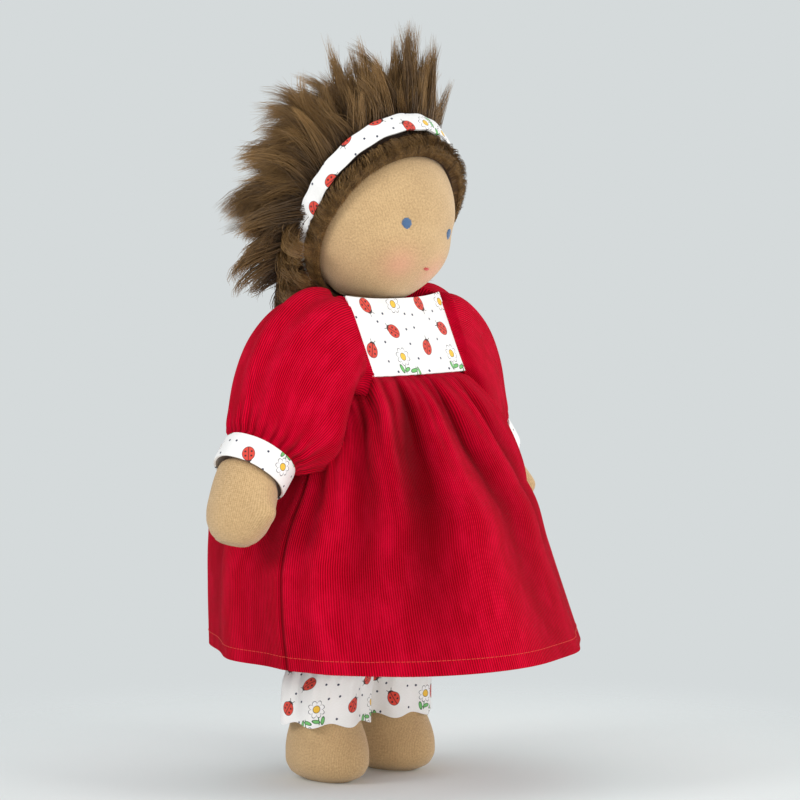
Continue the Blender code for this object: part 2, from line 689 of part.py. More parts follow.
def make_arm(side, label, skin, wool, carrier):
    """A stuffed arm with a mitten hand: a skin open at the shoulder, and the wool in it."""
    arm_rows = [row[0] for row in ARM_SHARES]
    hand_rows = [row[0] for row in HAND_SHARES]
    outer = mirrored(arm_rings(0.0, LIMB_SIDES, arm_rows, hand_rows), side)
    inner_arm_rows = [0.0, 0.10, 0.25, 0.65, 1.0]
    inner_hand_rows = [0.30, 0.48, 0.66, 0.88]
    inner = arm_rings(SKIN_WALL, LIMB_SIDES, inner_arm_rows, inner_hand_rows)
    inner = mirrored(inner, side)
    rings = inner[::-1] + outer
    ring_loft("arm_skin_" + label, rings, skin, carrier)
    core = arm_rings(SKIN_WALL + FIT * 2.0, LIMB_SIDES, inner_arm_rows, inner_hand_rows)
    ring_loft("arm_stuffing_" + label, mirrored(core, side), wool, carrier)


def raglan_x(height):
    """How far out the raglan seam lies at a height."""
    return RAGLAN_TOP_X + (YOKE_TOP_HEIGHT - height) * RAGLAN_SLOPE


def underarm_height():
    """The lowest point of the sleeve's seam."""
    return YOKE_BOTTOM_HEIGHT - SKIRT_SIDE_DROP * UNDERARM_SHARE


def seam_ring(inset, sides):
    """The right sleeve's seam: down the front panel, under the arm and up the back panel."""
    low = underarm_height() + inset
    ring = []
    for step in range(sides):
        angle = math.tau * (step + 0.5) / sides
        rise = math.copysign(abs(math.cos(angle)) ** SEAM_CORNERS, math.cos(angle))
        reach = abs(math.sin(angle)) ** SEAM_CORNERS
        in_front = min(1.0, max(0.0, 0.5 + math.sin(angle)))
        high = YOKE_TOP_HEIGHT + YOKE_CORNER_RISE * in_front - inset
        height = (high + low) * 0.5 + (high - low) * 0.5 * rise
        front = front_seam_y(height) + inset
        back = back_seam_y(height) - inset
        across = raglan_x(height) + (YOKE_HALF_WIDTH - raglan_x(height)) * in_front
        along = front if math.sin(angle) > 0.0 else back
        ring.append(Vector((-across - FIT, along * reach, height)))
    return ring


def sleeve_ring(share, inset, sides):
    """A ring of the right sleeve, from the raglan seam at 0 to the gathered wrist at 1."""
    middle = (YOKE_TOP_HEIGHT + underarm_height()) * 0.5
    seam_centre = Vector((-raglan_x(middle) - FIT, 0.0, middle))
    seam_up = Vector((RAGLAN_SLOPE, 0.0, 1.0)).normalized()
    wrist, side_way, _ = arm_frame(ARM_LENGTH - CUFF_HEIGHT * 0.30)
    lift_share, up_share, down_share, deep_share = between(SLEEVE_SHARES, share)
    swell = share * share * (3.0 - 2.0 * share)
    up = seam_up.lerp(side_way, swell).normalized()
    centre = seam_centre.lerp(wrist, share) + up * (SLEEVE_PUFF * lift_share)
    seam = seam_ring(inset, sides)
    free = min(1.0, share / SLEEVE_FREE_SHARE)
    free = free * free * (3.0 - 2.0 * free)
    puff = math.sin(math.pi * min(1.0, share ** 0.85))
    grip = min(1.0, max(0.0, (share - SLEEVE_SHARES[-3][0]) * 20.0))
    wrist_radius = CUFF_RADIUS - CLOTH_WALL - FIT
    ring = []
    for step in range(sides):
        angle = math.tau * (step + 0.5) / sides
        fold = SLEEVE_FOLD_DEPTH * math.cos(angle * SLEEVE_FOLDS) * (0.2 + 0.8 * puff)
        rise_share = up_share if math.cos(angle) > 0.0 else down_share
        rise = SLEEVE_PUFF * rise_share + fold
        reach = SLEEVE_PUFF * deep_share + fold
        across = math.cos(angle) * (rise + (wrist_radius - rise) * grip - inset)
        deep = math.sin(angle) * (reach + (wrist_radius - reach) * grip - inset)
        puffed = centre + up * across + Vector((0.0, -deep, 0.0))
        point = seam[step].lerp(puffed, free)
        point.x = min(point.x, seam[step].x - SLEEVE_PUFF * share)
        ring.append(point)
    return ring


def make_sleeve(side, label, cloth, carrier):
    """A long puffed raglan sleeve, gathered into its cuff."""
    rows = [row[0] for row in SLEEVE_SHARES]
    outer = mirrored([sleeve_ring(share, 0.0, SLEEVE_SIDES) for share in rows], side)
    inner = [sleeve_ring(share, CLOTH_WALL, SLEEVE_SIDES) for share in rows[:4] + rows[6::3]]
    shell("sleeve_" + label, outer, mirrored(inner, side), cloth, carrier)


def make_cuff(side, label, cloth, carrier):
    """The print band that gathers the sleeve at the wrist."""
    middle = ARM_LENGTH
    rows = (-0.5, -0.4, 0.4, 0.5)
    outer = []
    for share in rows:
        radius = CUFF_RADIUS - (CLOTH_WALL * 0.35 if abs(share) > 0.45 else 0.0)
        outer.append(arm_ring(middle + CUFF_HEIGHT * share, radius, radius, SLEEVE_SIDES))
    inner = []
    for share in (rows[0], rows[-1]):
        radius = CUFF_RADIUS - CLOTH_WALL
        inner.append(arm_ring(middle + CUFF_HEIGHT * share, radius, radius, SLEEVE_SIDES))
    shell("cuff_" + label, mirrored(outer, side), mirrored(inner, side), cloth, carrier)


def underarm_drop(across):
    """How far the waist seam dips under the sleeve at a distance from the middle."""
    share = (abs(across) - UNDERARM_START_X) / (UNDERARM_END_X - UNDERARM_START_X)
    share = min(1.0, max(0.0, share))
    return SKIRT_SIDE_DROP * share * share * (3.0 - 2.0 * share)


def bodice_point(angle, height, lift):
    """A point of the bodice at an angle from the front, plus to the doll's left."""
    width, depth = torso_size(height - YOKE_RISE)
    width = max(width, NECK_OPENING_RADIUS) + YOKE_EASE + lift
    depth = max(depth, NECK_OPENING_RADIUS) + YOKE_EASE + lift
    rise_share = (height - YOKE_BOTTOM_HEIGHT) / (YOKE_TOP_HEIGHT - YOKE_BOTTOM_HEIGHT)
    back = Vector((0.0, NECK_Y * max(0.0, rise_share - 0.75) * 4.0, height))
    return oval_point(angle - math.pi / 2.0, width, depth) + back


def raglan_angle(height, lift):
    """The angle from the front at which the bodice meets the raglan seam."""
    reach = raglan_x(height) - FIT * 2.0 - CLOTH_WALL
    low = 0.0
    high = math.pi / 2.0
    for _ in range(30):
        middle = (low + high) / 2.0
        if bodice_point(middle, height, lift).x < reach:
            low = middle
        else:
            high = middle
    return min(low, math.radians(80.0))


def front_seam_y(height):
    """How far forward the front panel's seams lie at a height: the panel slopes out downwards."""
    top = YOKE_TOP_HEIGHT + YOKE_CORNER_RISE
    share = (height - YOKE_BOTTOM_HEIGHT) / (top - YOKE_BOTTOM_HEIGHT)
    share = min(1.0, max(0.0, share))
    return -(YOKE_FRONT_BOTTOM_Y + (YOKE_FRONT_TOP_Y - YOKE_FRONT_BOTTOM_Y) * share)


def back_seam_y(height):
    """How far back the back panels' seams lie at a height."""
    level = min(YOKE_TOP_HEIGHT, max(YOKE_BOTTOM_HEIGHT, height))
    return -bodice_point(raglan_angle(level, CLOTH_WALL), level, CLOTH_WALL).y


def front_panel_point(across, rise_share, lift):
    """A point of the front panel, across it from -1 to 1 and up it from 0 to 1."""
    dip = (YOKE_CORNER_RISE - YOKE_CENTRE_RISE) * (1.0 - abs(across) ** 2.5)
    top = YOKE_TOP_HEIGHT + YOKE_CORNER_RISE - dip
    height = YOKE_BOTTOM_HEIGHT + (top - YOKE_BOTTOM_HEIGHT) * rise_share
    crown = YOKE_FRONT_CROWN * (1.0 - across * across)
    return Vector(((YOKE_HALF_WIDTH - FIT) * across, front_seam_y(height) - crown - lift, height))


def make_front_panel(cloth, carrier):
    """The flat front of the bodice, from raglan seam to raglan seam."""
    grids = []
    for lift in (CLOTH_WALL, 0.0):
        grid = []
        for row in range(YOKE_ROWS + 1):
            shares = [column * 2.0 / YOKE_COLUMNS - 1.0 for column in range(YOKE_COLUMNS + 1)]
            grid.append([front_panel_point(share, row / YOKE_ROWS, lift) for share in shares])
        grids.append(grid)
    return cloth_panel("yoke_front", grids[0], grids[1], cloth, carrier)


def cloth_panel(name, outer_rows, inner_rows, finish, carrier):
    """A thin closed panel between an outer and an inner grid of points."""
    rows = len(outer_rows)
    columns = len(outer_rows[0])
    points = [point for row in outer_rows for point in row]
    points += [point for row in inner_rows for point in row]
    shift = rows * columns
    faces = []
    for row in range(rows - 1):
        for column in range(columns - 1):
            a = row * columns + column
            b = a + 1
            c = a + columns + 1
            d = a + columns
            faces.append((a, b, c, d))
            faces.append((shift + d, shift + c, shift + b, shift + a))
    border = [(0, column) for column in range(columns)]
    border += [(row, columns - 1) for row in range(1, rows)]
    border += [(rows - 1, column) for column in range(columns - 2, -1, -1)]
    border += [(row, 0) for row in range(rows - 2, 0, -1)]
    loop = [row * columns + column for row, column in border]
    for a, b in zip(loop, loop[1:] + loop[:1]):
        faces.append((b, a, shift + a, shift + b))
    return solid(name, points, faces, finish, carrier)


def make_back_panel(name, start_share, gap_start, gap_end, cloth, carrier):
    """Half the back of the bodice, from the raglan seam at one side to the opening."""
    width = TORSO_HALF_WIDTH + YOKE_EASE
    grids = []
    for lift in (CLOTH_WALL, 0.0):
        grid = []
        for rise_share in BACK_ROW_SHARES:
            row = []
            height = YOKE_BOTTOM_HEIGHT + (YOKE_TOP_HEIGHT - YOKE_BOTTOM_HEIGHT) * rise_share
            edge = raglan_angle(height, lift)
            for column in range(BACK_COLUMNS + 1):
                across = column / BACK_COLUMNS
                inward = gap_start * (1.0 - across) - gap_end * across
                angle = math.pi + (start_share + across) * edge + inward / width
                row.append(bodice_point(angle, height, lift))
            grid.append(row)
        grids.append(grid)
    return cloth_panel(name, grids[0], grids[1], cloth, carrier)


def make_buttons(finish, carrier):
    """Two flat press studs on the back opening."""
    radius = YOKE_HEIGHT * STUD_RADIUS_SHARE
    for label, share in STUD_SHARES:
        height = YOKE_BOTTOM_HEIGHT + YOKE_HEIGHT * share
        angle = math.pi + (radius + FIT * 3.0) / (TORSO_HALF_WIDTH + YOKE_EASE)
        centre = bodice_point(angle, height, CLOTH_WALL)
        across = (bodice_point(angle + 0.05, height, CLOTH_WALL) - centre).normalized()
        above = bodice_point(angle, height + radius, CLOTH_WALL) - centre
        out = across.cross(above).normalized()
        out *= math.copysign(1.0, out.y)
        up = out.cross(across)
        rings = []
        for lift, share_out in STUD_PROFILE_SHARES:
            ring = []
            for step in range(STUD_SIDES):
                turn = math.tau * step / STUD_SIDES
                flat = across * math.cos(turn) + up * math.sin(turn)
                rise = out * (FIT * 2.0 + STUD_THICKNESS * lift)
                ring.append(centre + flat * (radius * share_out) + rise)
            rings.append(ring)
        ring_loft("back_stud_" + label, rings, finish, carrier)


def skirt_point(angle, share, inset):
    """A point of the skirt: angle 0 is the doll's left side, share runs from hem to yoke."""
    across = math.cos(angle)
    along = math.sin(angle)
    width_share, depth_share, swing_share, dent = between(SKIRT_SHARES, share)
    in_front = max(0.0, -along)
    gathered = max(0.0, share - SKIRT_SQUARE_SHARE) / (1.0 - SKIRT_SQUARE_SHARE)
    squareness = 2.0 + (SKIRT_TOP_SQUARENESS - 2.0) * gathered * min(1.0, in_front * 2.0)
    tilt = math.cos(angle - math.radians(SKIRT_HEM_TILT_DEGREES))
    hem = SKIRT_HEM_HEIGHT + SKIRT_HEM_TILT * (1.0 + tilt)
    outline = oval_point(angle, 1.0, 1.0, squareness)
    top_half_width = SKIRT_HEM_HALF_WIDTH * SKIRT_SHARES[-1][1]
    top = YOKE_BOTTOM_HEIGHT - FIT * 1.5 - underarm_drop(top_half_width * outline.x)
    height = hem + (top - hem) * share
    fold = math.cos(angle * SKIRT_FOLDS + 0.9 * math.sin(angle * 2.0 + 0.5))
    fold *= SKIRT_FOLD_DEPTH * (1.0 - 0.62 * share)
    fold *= 0.65 + 0.35 * math.cos(angle * 4.0 + 1.0)
    side = 1.0 - dent * abs(across) ** 6
    width = SKIRT_HEM_HALF_WIDTH * width_share * side + fold - inset
    depth = SKIRT_HEM_HALF_DEPTH * depth_share + fold - inset
    depth += SKIRT_FRONT_FULLNESS * gathered * in_front
    return Vector((width * outline.x, depth * outline.y - SKIRT_SWING_FORWARD * swing_share, height))


def make_skirt(cloth, carrier):
    """The gathered skirt's front and back panels, joined at the side seams."""
    half = SKIRT_SIDES // 2
    seam = FIT / SKIRT_HEM_HALF_WIDTH
    for name, start in (("skirt_back", 0.0), ("skirt_front", math.pi)):
        grids = []
        for inset in (0.0, CLOTH_WALL):
            grid = []
            for share in SKIRT_ROW_SHARES:
                narrow = seam / between(SKIRT_SHARES, share)[0]
                row = []
                for step in range(half + 1):
                    angle = start + narrow + (math.pi - 2.0 * narrow) * step / half
                    row.append(skirt_point(angle, share, inset))
                grid.append(row)
            grids.append(grid)
        cloth_panel(name, grids[0], grids[1], cloth, carrier)


def leg_centre(height):
    """Centre of the right leg at a height: it runs out and back a little towards the foot."""
    share = min(1.0, max(0.0, (HIP_HEIGHT - height) / (HIP_HEIGHT - FOOT_HEIGHT)))
    return Vector((-HIP_X - (FOOT_X - HIP_X) * share, FOOT_Y * share, height))


def leg_size(height):
    """Half width and half depth of the leg's skin at a height above the foot."""
    top = HIP_HEIGHT + LEG_TOP_RISE
    wide, deep = between(LEG_SHARES, (top - height) / (top - FOOT_HEIGHT))
    return LEG_HALF_WIDTH * wide, LEG_HALF_DEPTH * deep


def leg_rings(inset, sides, leg_rows, foot_rows):
    """The right leg's level rings from the hip seam down to the sole."""
    top = HIP_HEIGHT + LEG_TOP_RISE
    rings = []
    for share in leg_rows:
        height = top + (FOOT_HEIGHT - top) * share
        wide, deep = between(LEG_SHARES, share)
        depth = max(LEG_HALF_DEPTH * deep - inset, LEG_TOP_HALF_DEPTH * 0.5)
        rings.append(oval(leg_centre(height), LEG_HALF_WIDTH * wide - inset, depth, sides))
    turn = Matrix.Rotation(-math.radians(TOE_OUT_DEGREES), 4, "Z")
    for share in foot_rows:
        wide, long, forward = between(FOOT_SHARES, share)
        height = FOOT_HEIGHT * share + inset * (1.0 - share)
        centre = leg_centre(height)
        shift = Vector((0.0, (HEEL_BACK - FOOT_LENGTH * 0.5) * forward, 0.0))
        ring = oval(Vector((0.0, 0.0, 0.0)), FOOT_HALF_WIDTH * wide - inset,
                    FOOT_LENGTH * 0.5 * long - inset, sides, squareness=2.1)
        rings.append([centre + turn @ (point + shift) for point in ring])
    return rings


def make_leg(side, label, skin, wool, carrier):
    """A stuffed leg and foot: a skin open at the hip seam, and the wool in it."""
    leg_rows = [row[0] for row in LEG_SHARES]
    foot_rows = [row[0] for row in FOOT_SHARES]
    outer = mirrored(leg_rings(0.0, LIMB_SIDES, leg_rows, foot_rows), side)
    core_rows = [0.06, 0.13, 0.205, 0.52, 0.86, 1.0]
    core_foot_rows = [0.70, 0.34, 0.06, 0.0]
    inner = leg_rings(SKIN_WALL, LIMB_SIDES, [0.0] + core_rows, core_foot_rows)
    rings = mirrored(inner, side)[::-1] + outer
    ring_loft("leg_skin_" + label, rings, skin, carrier)
    core = leg_rings(SKIN_WALL + FIT, LIMB_SIDES, core_rows, core_foot_rows)
    ring_loft("leg_stuffing_" + label, mirrored(core, side), wool, carrier)


def elastic_share():
    """How far down the bloomers' leg its elastic lies."""
    whole = BLOOMERS_CROTCH_HEIGHT - RUFFLE_HEIGHT
    return (BLOOMERS_CROTCH_HEIGHT - ELASTIC_HEIGHT) / whole


def bloomer_leg_rings(inset, sides, rows):
    """The right leg of the bloomers, from under the seat down to the ankle ruffle."""
    rings = []
    elastic = elastic_share()
    leg_width, leg_depth = leg_size(ELASTIC_HEIGHT)
    snug = CLOTH_WALL + ELASTIC_RADIUS * 2.0 + FIT * 4.0 + RUFFLE_WAVE_DEPTH * 0.25
    for share in rows:
        height = BLOOMERS_CROTCH_HEIGHT - FIT + (RUFFLE_HEIGHT - BLOOMERS_CROTCH_HEIGHT) * share
        cinch = soft_step(share - elastic, 0.06)
        flare = min(1.0, max(0.0, (share - elastic) / (1.0 - elastic) * 2.2))
        flare = flare * flare * (3.0 - 2.0 * flare)
        half_width = BLOOMERS_HALF_WIDTH + (leg_width + snug - BLOOMERS_HALF_WIDTH) * cinch
        half_depth = BLOOMERS_HALF_DEPTH + (leg_depth + snug - BLOOMERS_HALF_DEPTH) * cinch
        half_width += (RUFFLE_RADIUS - half_width) * flare
        half_depth += (RUFFLE_RADIUS - half_depth) * flare
        centre = leg_centre(height)
        ring = []
        for step in range(sides):
            angle = math.tau * (step + 0.5) / sides
            wave = math.cos(angle * RUFFLE_WAVES) * RUFFLE_WAVE_DEPTH * (0.25 + 0.75 * flare)
            ring.append(centre + Vector(((half_width - inset + wave) * math.cos(angle),
                                         (half_depth - inset + wave) * math.sin(angle), 0.0)))
        rings.append(ring)
    return rings


def ring_of_elastic(name, centre, half_width, half_depth, finish, carrier):
    """A thin round elastic that follows the squared outline of what it goes round."""
    rings = []
    for step in range(THREAD_STEPS):
        turn = math.tau * step / THREAD_STEPS
        ring = []
        for side in range(THREAD_SIDES):
            angle = math.tau * side / THREAD_SIDES
            lift = ELASTIC_RADIUS * math.cos(angle)
            rise = Vector((0.0, 0.0, ELASTIC_RADIUS * math.sin(angle)))
            ring.append(centre + oval_point(turn, half_width + lift, half_depth + lift) + rise)
        rings.append(ring)
    ring_loft(name, rings, finish, carrier, loop=True)


def make_bloomers(cloth, elastic, torso_carrier, leg_carriers):
    """The print bloomers: a seat round the hips and two legs with ruffled ends."""
    grids = []
    heights = [BLOOMERS_CROTCH_HEIGHT + (BLOOMERS_WAIST_HEIGHT - BLOOMERS_CROTCH_HEIGHT) * share
               for share in (0.0, 0.25, 0.5, 0.8, 1.0)]
    for inset in (0.0, CLOTH_WALL):
        rings = []
        for height in heights:
            share = (height - BLOOMERS_CROTCH_HEIGHT) / (BLOOMERS_WAIST_HEIGHT
                                                         - BLOOMERS_CROTCH_HEIGHT)
            half_width = TORSO_HALF_WIDTH + BLOOMERS_EASE * (1.0 - WAIST_SNUG_SHARE * share) - inset
            half_depth = TORSO_HALF_DEPTH + BLOOMERS_EASE * (1.0 - WAIST_SNUG_SHARE * share) - inset
            rings.append(oval(Vector((0.0, 0.0, height)), half_width, half_depth, TORSO_SIDES))
        grids.append(rings)
    shell("bloomers_seat", grids[0], [grids[1][0], grids[1][2], grids[1][4]], cloth, torso_carrier)
    waist = Vector((0.0, 0.0, BLOOMERS_WAIST_HEIGHT - CLOTH_WALL * 3.0))
    reach = ELASTIC_RADIUS + FIT * 2.0
    ring_of_elastic("waist_elastic", waist, TORSO_HALF_WIDTH + reach, TORSO_HALF_DEPTH + reach,
                    elastic, torso_carrier)
    cinch = elastic_share()
    rows = [cinch * share for share in (0.0, 0.3, 0.6, 0.85, 1.0)]
    rows += [cinch + (1.0 - cinch) * share for share in (0.2, 0.45, 0.7, 1.0)]
    for side, label in ((-1, "r"), (1, "l")):
        carrier = leg_carriers[label]
        outer = mirrored(bloomer_leg_rings(0.0, RUFFLE_SIDES, rows), side)
        inner = mirrored(bloomer_leg_rings(CLOTH_WALL, RUFFLE_SIDES, rows[::2]), side)
        shell("bloomers_" + label, outer, inner, cloth, carrier)
        centre = leg_centre(ELASTIC_HEIGHT)
        centre.x *= -side
        leg_width, leg_depth = leg_size(ELASTIC_HEIGHT)
        ring_of_elastic("ankle_elastic_" + label, centre, leg_width + reach, leg_depth + reach,
                        elastic, carrier)


def build():
    """Clear the scene and make the doll."""
    for old in list(bpy.data.objects):
        bpy.data.objects.remove(old)
    skin = material("skin_knit", (0.62, 0.37, 0.23), 0.85)
    wool = material("stuffing_wool", (0.80, 0.76, 0.66), 0.95)
    pile = material("hair_mohair", (0.13, 0.06, 0.03), 0.75)
    knit = material("cap_knit", (0.10, 0.05, 0.03), 0.9)
    print_cloth = material("print_cotton", (0.85, 0.84, 0.80), 0.85)
    cord_cloth = material("red_corduroy", (0.50, 0.02, 0.03), 0.85)
    blue = material("eye_thread", (0.10, 0.25, 0.55), 0.5)
    red = material("mouth_thread", (0.55, 0.10, 0.08), 0.5)
    thread = material("tie_thread", (0.75, 0.60, 0.45), 0.7)
    stud = material("stud_plastic", (0.80, 0.80, 0.78), 0.4)
    elastic = material("elastic", (0.85, 0.85, 0.82), 0.7)

    doll = carrier_at("doll_frame", Vector((0.0, AXIS_Y, 0.0)))
    neck_carrier = carrier_at("neck_pivot", neck_pivot(), doll, head_turn())
    head_carrier = carrier_at("head_pivot", neck_pivot(), doll, head_turn())
    arm_carriers = {}
    leg_carriers = {}
    for side, label in ((-1, "r"), (1, "l")):
        shoulder = Vector((side * SHOULDER_X, 0.0, SHOULDER_HEIGHT))
        arm_carriers[label] = carrier_at("shoulder_pivot_" + label, shoulder, doll)
        hip = Vector((side * HIP_X, 0.0, HIP_HEIGHT))
        leg_carriers[label] = carrier_at("hip_pivot_" + label, hip, doll)

    make_torso(skin, wool, doll)
    make_neck(skin, neck_carrier)
    make_head(skin, wool, head_carrier)
    make_tie(thread, head_carrier)
    for side, label in ((-1, "r"), (1, "l")):
        surface_patch("eye_" + label, side * EYE_LONGITUDE_DEGREES, EYE_LATITUDE_DEGREES,
                      EYE_RADIUS, EYE_RADIUS, blue, head_carrier)
    surface_patch("mouth", MOUTH_LONGITUDE_DEGREES, MOUTH_LATITUDE_DEGREES,
                  MOUTH_HALF_LENGTH, MOUTH_HALF_HEIGHT, red, head_carrier)
    make_wig(pile, knit, print_cloth, head_carrier)
    for side, label in ((-1, "r"), (1, "l")):
        make_arm(side, label, skin, wool, arm_carriers[label])
        make_cuff(side, label, print_cloth, arm_carriers[label])
        make_sleeve(side, label, cord_cloth, doll)
        make_leg(side, label, skin, wool, leg_carriers[label])
    make_front_panel(print_cloth, doll)
    make_back_panel("yoke_back_l", -1.0, 0.0, FIT, print_cloth, doll)
    make_back_panel("yoke_back_r", 0.0, FIT, 0.0, print_cloth, doll)
    make_buttons(stud, doll)
    make_skirt(cord_cloth, doll)
    make_bloomers(print_cloth, elastic, doll, leg_carriers)


build()
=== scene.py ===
import math

import bpy
import numpy as np
from mathutils import Matrix, Vector


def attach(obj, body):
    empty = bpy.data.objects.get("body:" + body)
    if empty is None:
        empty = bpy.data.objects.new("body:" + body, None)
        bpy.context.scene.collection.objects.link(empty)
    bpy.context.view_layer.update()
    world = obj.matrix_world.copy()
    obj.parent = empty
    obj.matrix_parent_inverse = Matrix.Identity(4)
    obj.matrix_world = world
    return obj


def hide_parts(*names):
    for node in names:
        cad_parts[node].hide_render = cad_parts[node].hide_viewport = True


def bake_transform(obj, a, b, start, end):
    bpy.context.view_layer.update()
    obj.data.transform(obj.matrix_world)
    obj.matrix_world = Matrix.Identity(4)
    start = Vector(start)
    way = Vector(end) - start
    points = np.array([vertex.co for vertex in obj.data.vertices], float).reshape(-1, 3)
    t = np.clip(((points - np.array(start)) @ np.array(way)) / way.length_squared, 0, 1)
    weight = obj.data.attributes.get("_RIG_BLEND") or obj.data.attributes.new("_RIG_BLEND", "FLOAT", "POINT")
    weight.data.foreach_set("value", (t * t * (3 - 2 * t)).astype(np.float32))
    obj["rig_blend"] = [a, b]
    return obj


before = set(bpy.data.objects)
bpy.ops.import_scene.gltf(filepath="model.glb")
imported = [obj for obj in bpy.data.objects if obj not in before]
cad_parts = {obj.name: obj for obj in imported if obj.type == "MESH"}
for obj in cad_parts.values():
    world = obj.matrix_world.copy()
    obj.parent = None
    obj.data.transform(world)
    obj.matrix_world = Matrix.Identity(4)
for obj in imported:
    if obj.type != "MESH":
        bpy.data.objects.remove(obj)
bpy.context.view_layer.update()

# The doll's upright axis in the row frame. Shapes are written about it and moved there last.
AXIS_Y = 0.0176
AXIS = np.array([0.0, AXIS_Y, 0.0])
CLOTH_WALL = 0.0011


# Curves and outlines

def curve(rows, share):
    """Smooth values read through a table whose first column is a share."""
    table = np.array(sorted(rows), float)
    at, values = table[:, 0], table[:, 1:]
    slope = np.gradient(values, at, axis=0)
    share = np.clip(np.asarray(share, float), at[0], at[-1])
    low = np.clip(np.searchsorted(at, share, side="right") - 1, 0, len(at) - 2)
    span = at[low + 1] - at[low]
    t = ((share - at[low]) / span)[..., None]
    span = span[..., None]
    t2, t3 = t * t, t * t * t
    mixed = (2 * t3 - 3 * t2 + 1) * values[low] + (t3 - 2 * t2 + t) * span * slope[low]
    mixed += (3 * t2 - 2 * t3) * values[low + 1] + (t3 - t2) * span * slope[low + 1]
    return np.moveaxis(mixed, -1, 0)


def smooth(start, end, value):
    """0 before start, 1 after end, and a soft step between them."""
    t = np.clip((np.asarray(value, float) - start) / (end - start), 0, 1)
    return t * t * (3 - 2 * t)


def bump(value, width):
    """A bump of height 1 at zero that dies away within about one width."""
    return np.exp(-(np.asarray(value, float) / width) ** 2)


def oval(angle, half_width, half_depth, squareness=2.3):
    """x and y of a level outline with slightly squared ends."""
    across, along = np.cos(angle), np.sin(angle)
    bulge = (np.abs(across) ** squareness + np.abs(along) ** squareness) ** (-1 / squareness)
    return half_width * across * bulge, half_depth * along * bulge


def round_angles(count):
    """One row of angles all the way round, its last angle back at the first."""
    return np.linspace(0, math.tau, count)[None, :]


def unit(vectors):
    """The vectors' directions."""
    return vectors / (np.linalg.norm(vectors, axis=-1, keepdims=True) + 1e-12)


def stack(x, y, z):
    """Points from three arrays of one shape."""
    x, y, z = np.broadcast_arrays(x, y, z)
    return np.stack([x, y, z], -1)


# Meshes

def new_object(name, mesh, finish=None):
    """An object for a mesh, shaded smooth, with its finish."""
    mesh.shade_smooth()
    made = bpy.data.objects.new(name, mesh)
    bpy.context.scene.collection.objects.link(made)
    if finish:
        mesh.materials.append(finish)
    return made


def grid(name, points, finish, uv=None, wrap=False, cap_start=False, cap_end=False, out=None):
    """A surface over rows of points in the doll's frame. Its faces look away from out."""
    points = np.asarray(points, float)
    rows, columns = points.shape[:2]
    index = np.arange(rows * columns).reshape(rows, columns)
    left = index if wrap else index[:, :-1]
    right = np.roll(index, -1, axis=1) if wrap else index[:, 1:]
    quads = np.stack([left[:-1], right[:-1], right[1:], left[1:]], -1).reshape(-1, 4)
    flat = points.reshape(-1, 3)
    centre = flat.mean(0) if out is None else np.asarray(out, float)
    a, b, d = flat[quads[:, 0]], flat[quads[:, 1]], flat[quads[:, 3]]
    facing = np.einsum("ij,ij->i", np.cross(b - a, d - a), a - centre).sum()
    flip = facing < 0
    faces = (quads[:, ::-1] if flip else quads).tolist()
    if cap_start:
        faces.append(index[0].tolist() if flip else index[0][::-1].tolist())
    if cap_end:
        faces.append(index[-1][::-1].tolist() if flip else index[-1].tolist())
    mesh = bpy.data.meshes.new(name)
    mesh.from_pydata((flat + AXIS).tolist(), [], faces)
    made = new_object(name, mesh, finish)
    if uv is not None:
        uv = np.asarray(uv, float)
        corners = np.stack([uv[:-1, :-1], uv[:-1, 1:], uv[1:, 1:], uv[1:, :-1]], 2)
        corners = corners.reshape(-1, 4, 2)
        corners = (corners[:, ::-1] if flip else corners).reshape(-1, 2)
        spare = len(mesh.loops) - len(corners)
        corners = np.concatenate([corners, np.zeros((spare, 2))])
        layer = mesh.uv_layers.new(name="Cloth")
        layer.data.foreach_set("uv", corners.astype(np.float32).ravel())
    return made


def round_uv(points):
    """Cloth coordinates of rows of points whose last column repeats the first."""
    return cloth_uv(points[:, :-1], wrap=True)


def tube(name, points, finish, uv=None, **caps):
    """A closed surface over rows of points whose last column repeats the first."""
    uv = round_uv(points) if uv is None else uv
    return grid(name, points[:, :-1], finish, uv, wrap=True, **caps)


def thicken(piece, wall=CLOTH_WALL):
    """Gives a cloth surface its thickness, inwards, with a rim round its edges."""
    modifier = piece.modifiers.new("cloth", "SOLIDIFY")
    modifier.thickness = wall
    modifier.offset = -1.0
    modifier.use_even_offset = False
    apply_all(piece)
    piece.data.set_sharp_from_angle(angle=math.radians(60.0))
    return piece


def apply_all(piece):
    """Replaces a piece's mesh with what its modifiers make."""
    graph = bpy.context.evaluated_depsgraph_get()
    made = bpy.data.meshes.new_from_object(piece.evaluated_get(graph))
    old = piece.data
    piece.modifiers.clear()
    piece.data = made
    bpy.data.meshes.remove(old)


def cloth_uv(points, wrap=False, row=None):
    """Cloth coordinates in metres: across is measured on one row, along on every column."""
    points = np.asarray(points, float)
    closed = np.concatenate([points, points[:, :1]], 1) if wrap else points
    steps = np.linalg.norm(np.diff(closed, axis=1), axis=2)
    widest = steps[steps.sum(1).argmax() if row is None else row]
    across = np.concatenate([[0.0], np.cumsum(widest)])
    drops = np.linalg.norm(np.diff(closed, axis=0), axis=2)
    along = np.concatenate([np.zeros((1, closed.shape[1])), np.cumsum(drops, 0)])
    return np.stack([np.broadcast_to(across, along.shape), along], -1)


def paint(piece, name, values):
    """Stores a value for each vertex, for a material to read."""
    layer = piece.data.attributes.new(name, "FLOAT", "POINT")
    layer.data.foreach_set("value", np.asarray(values, np.float32).ravel())


def stored(piece, name):
    """The value that each vertex stores under a name."""
    values = np.empty(len(piece.data.vertices), np.float32)
    piece.data.attributes[name].data.foreach_get("value", values)
    return values


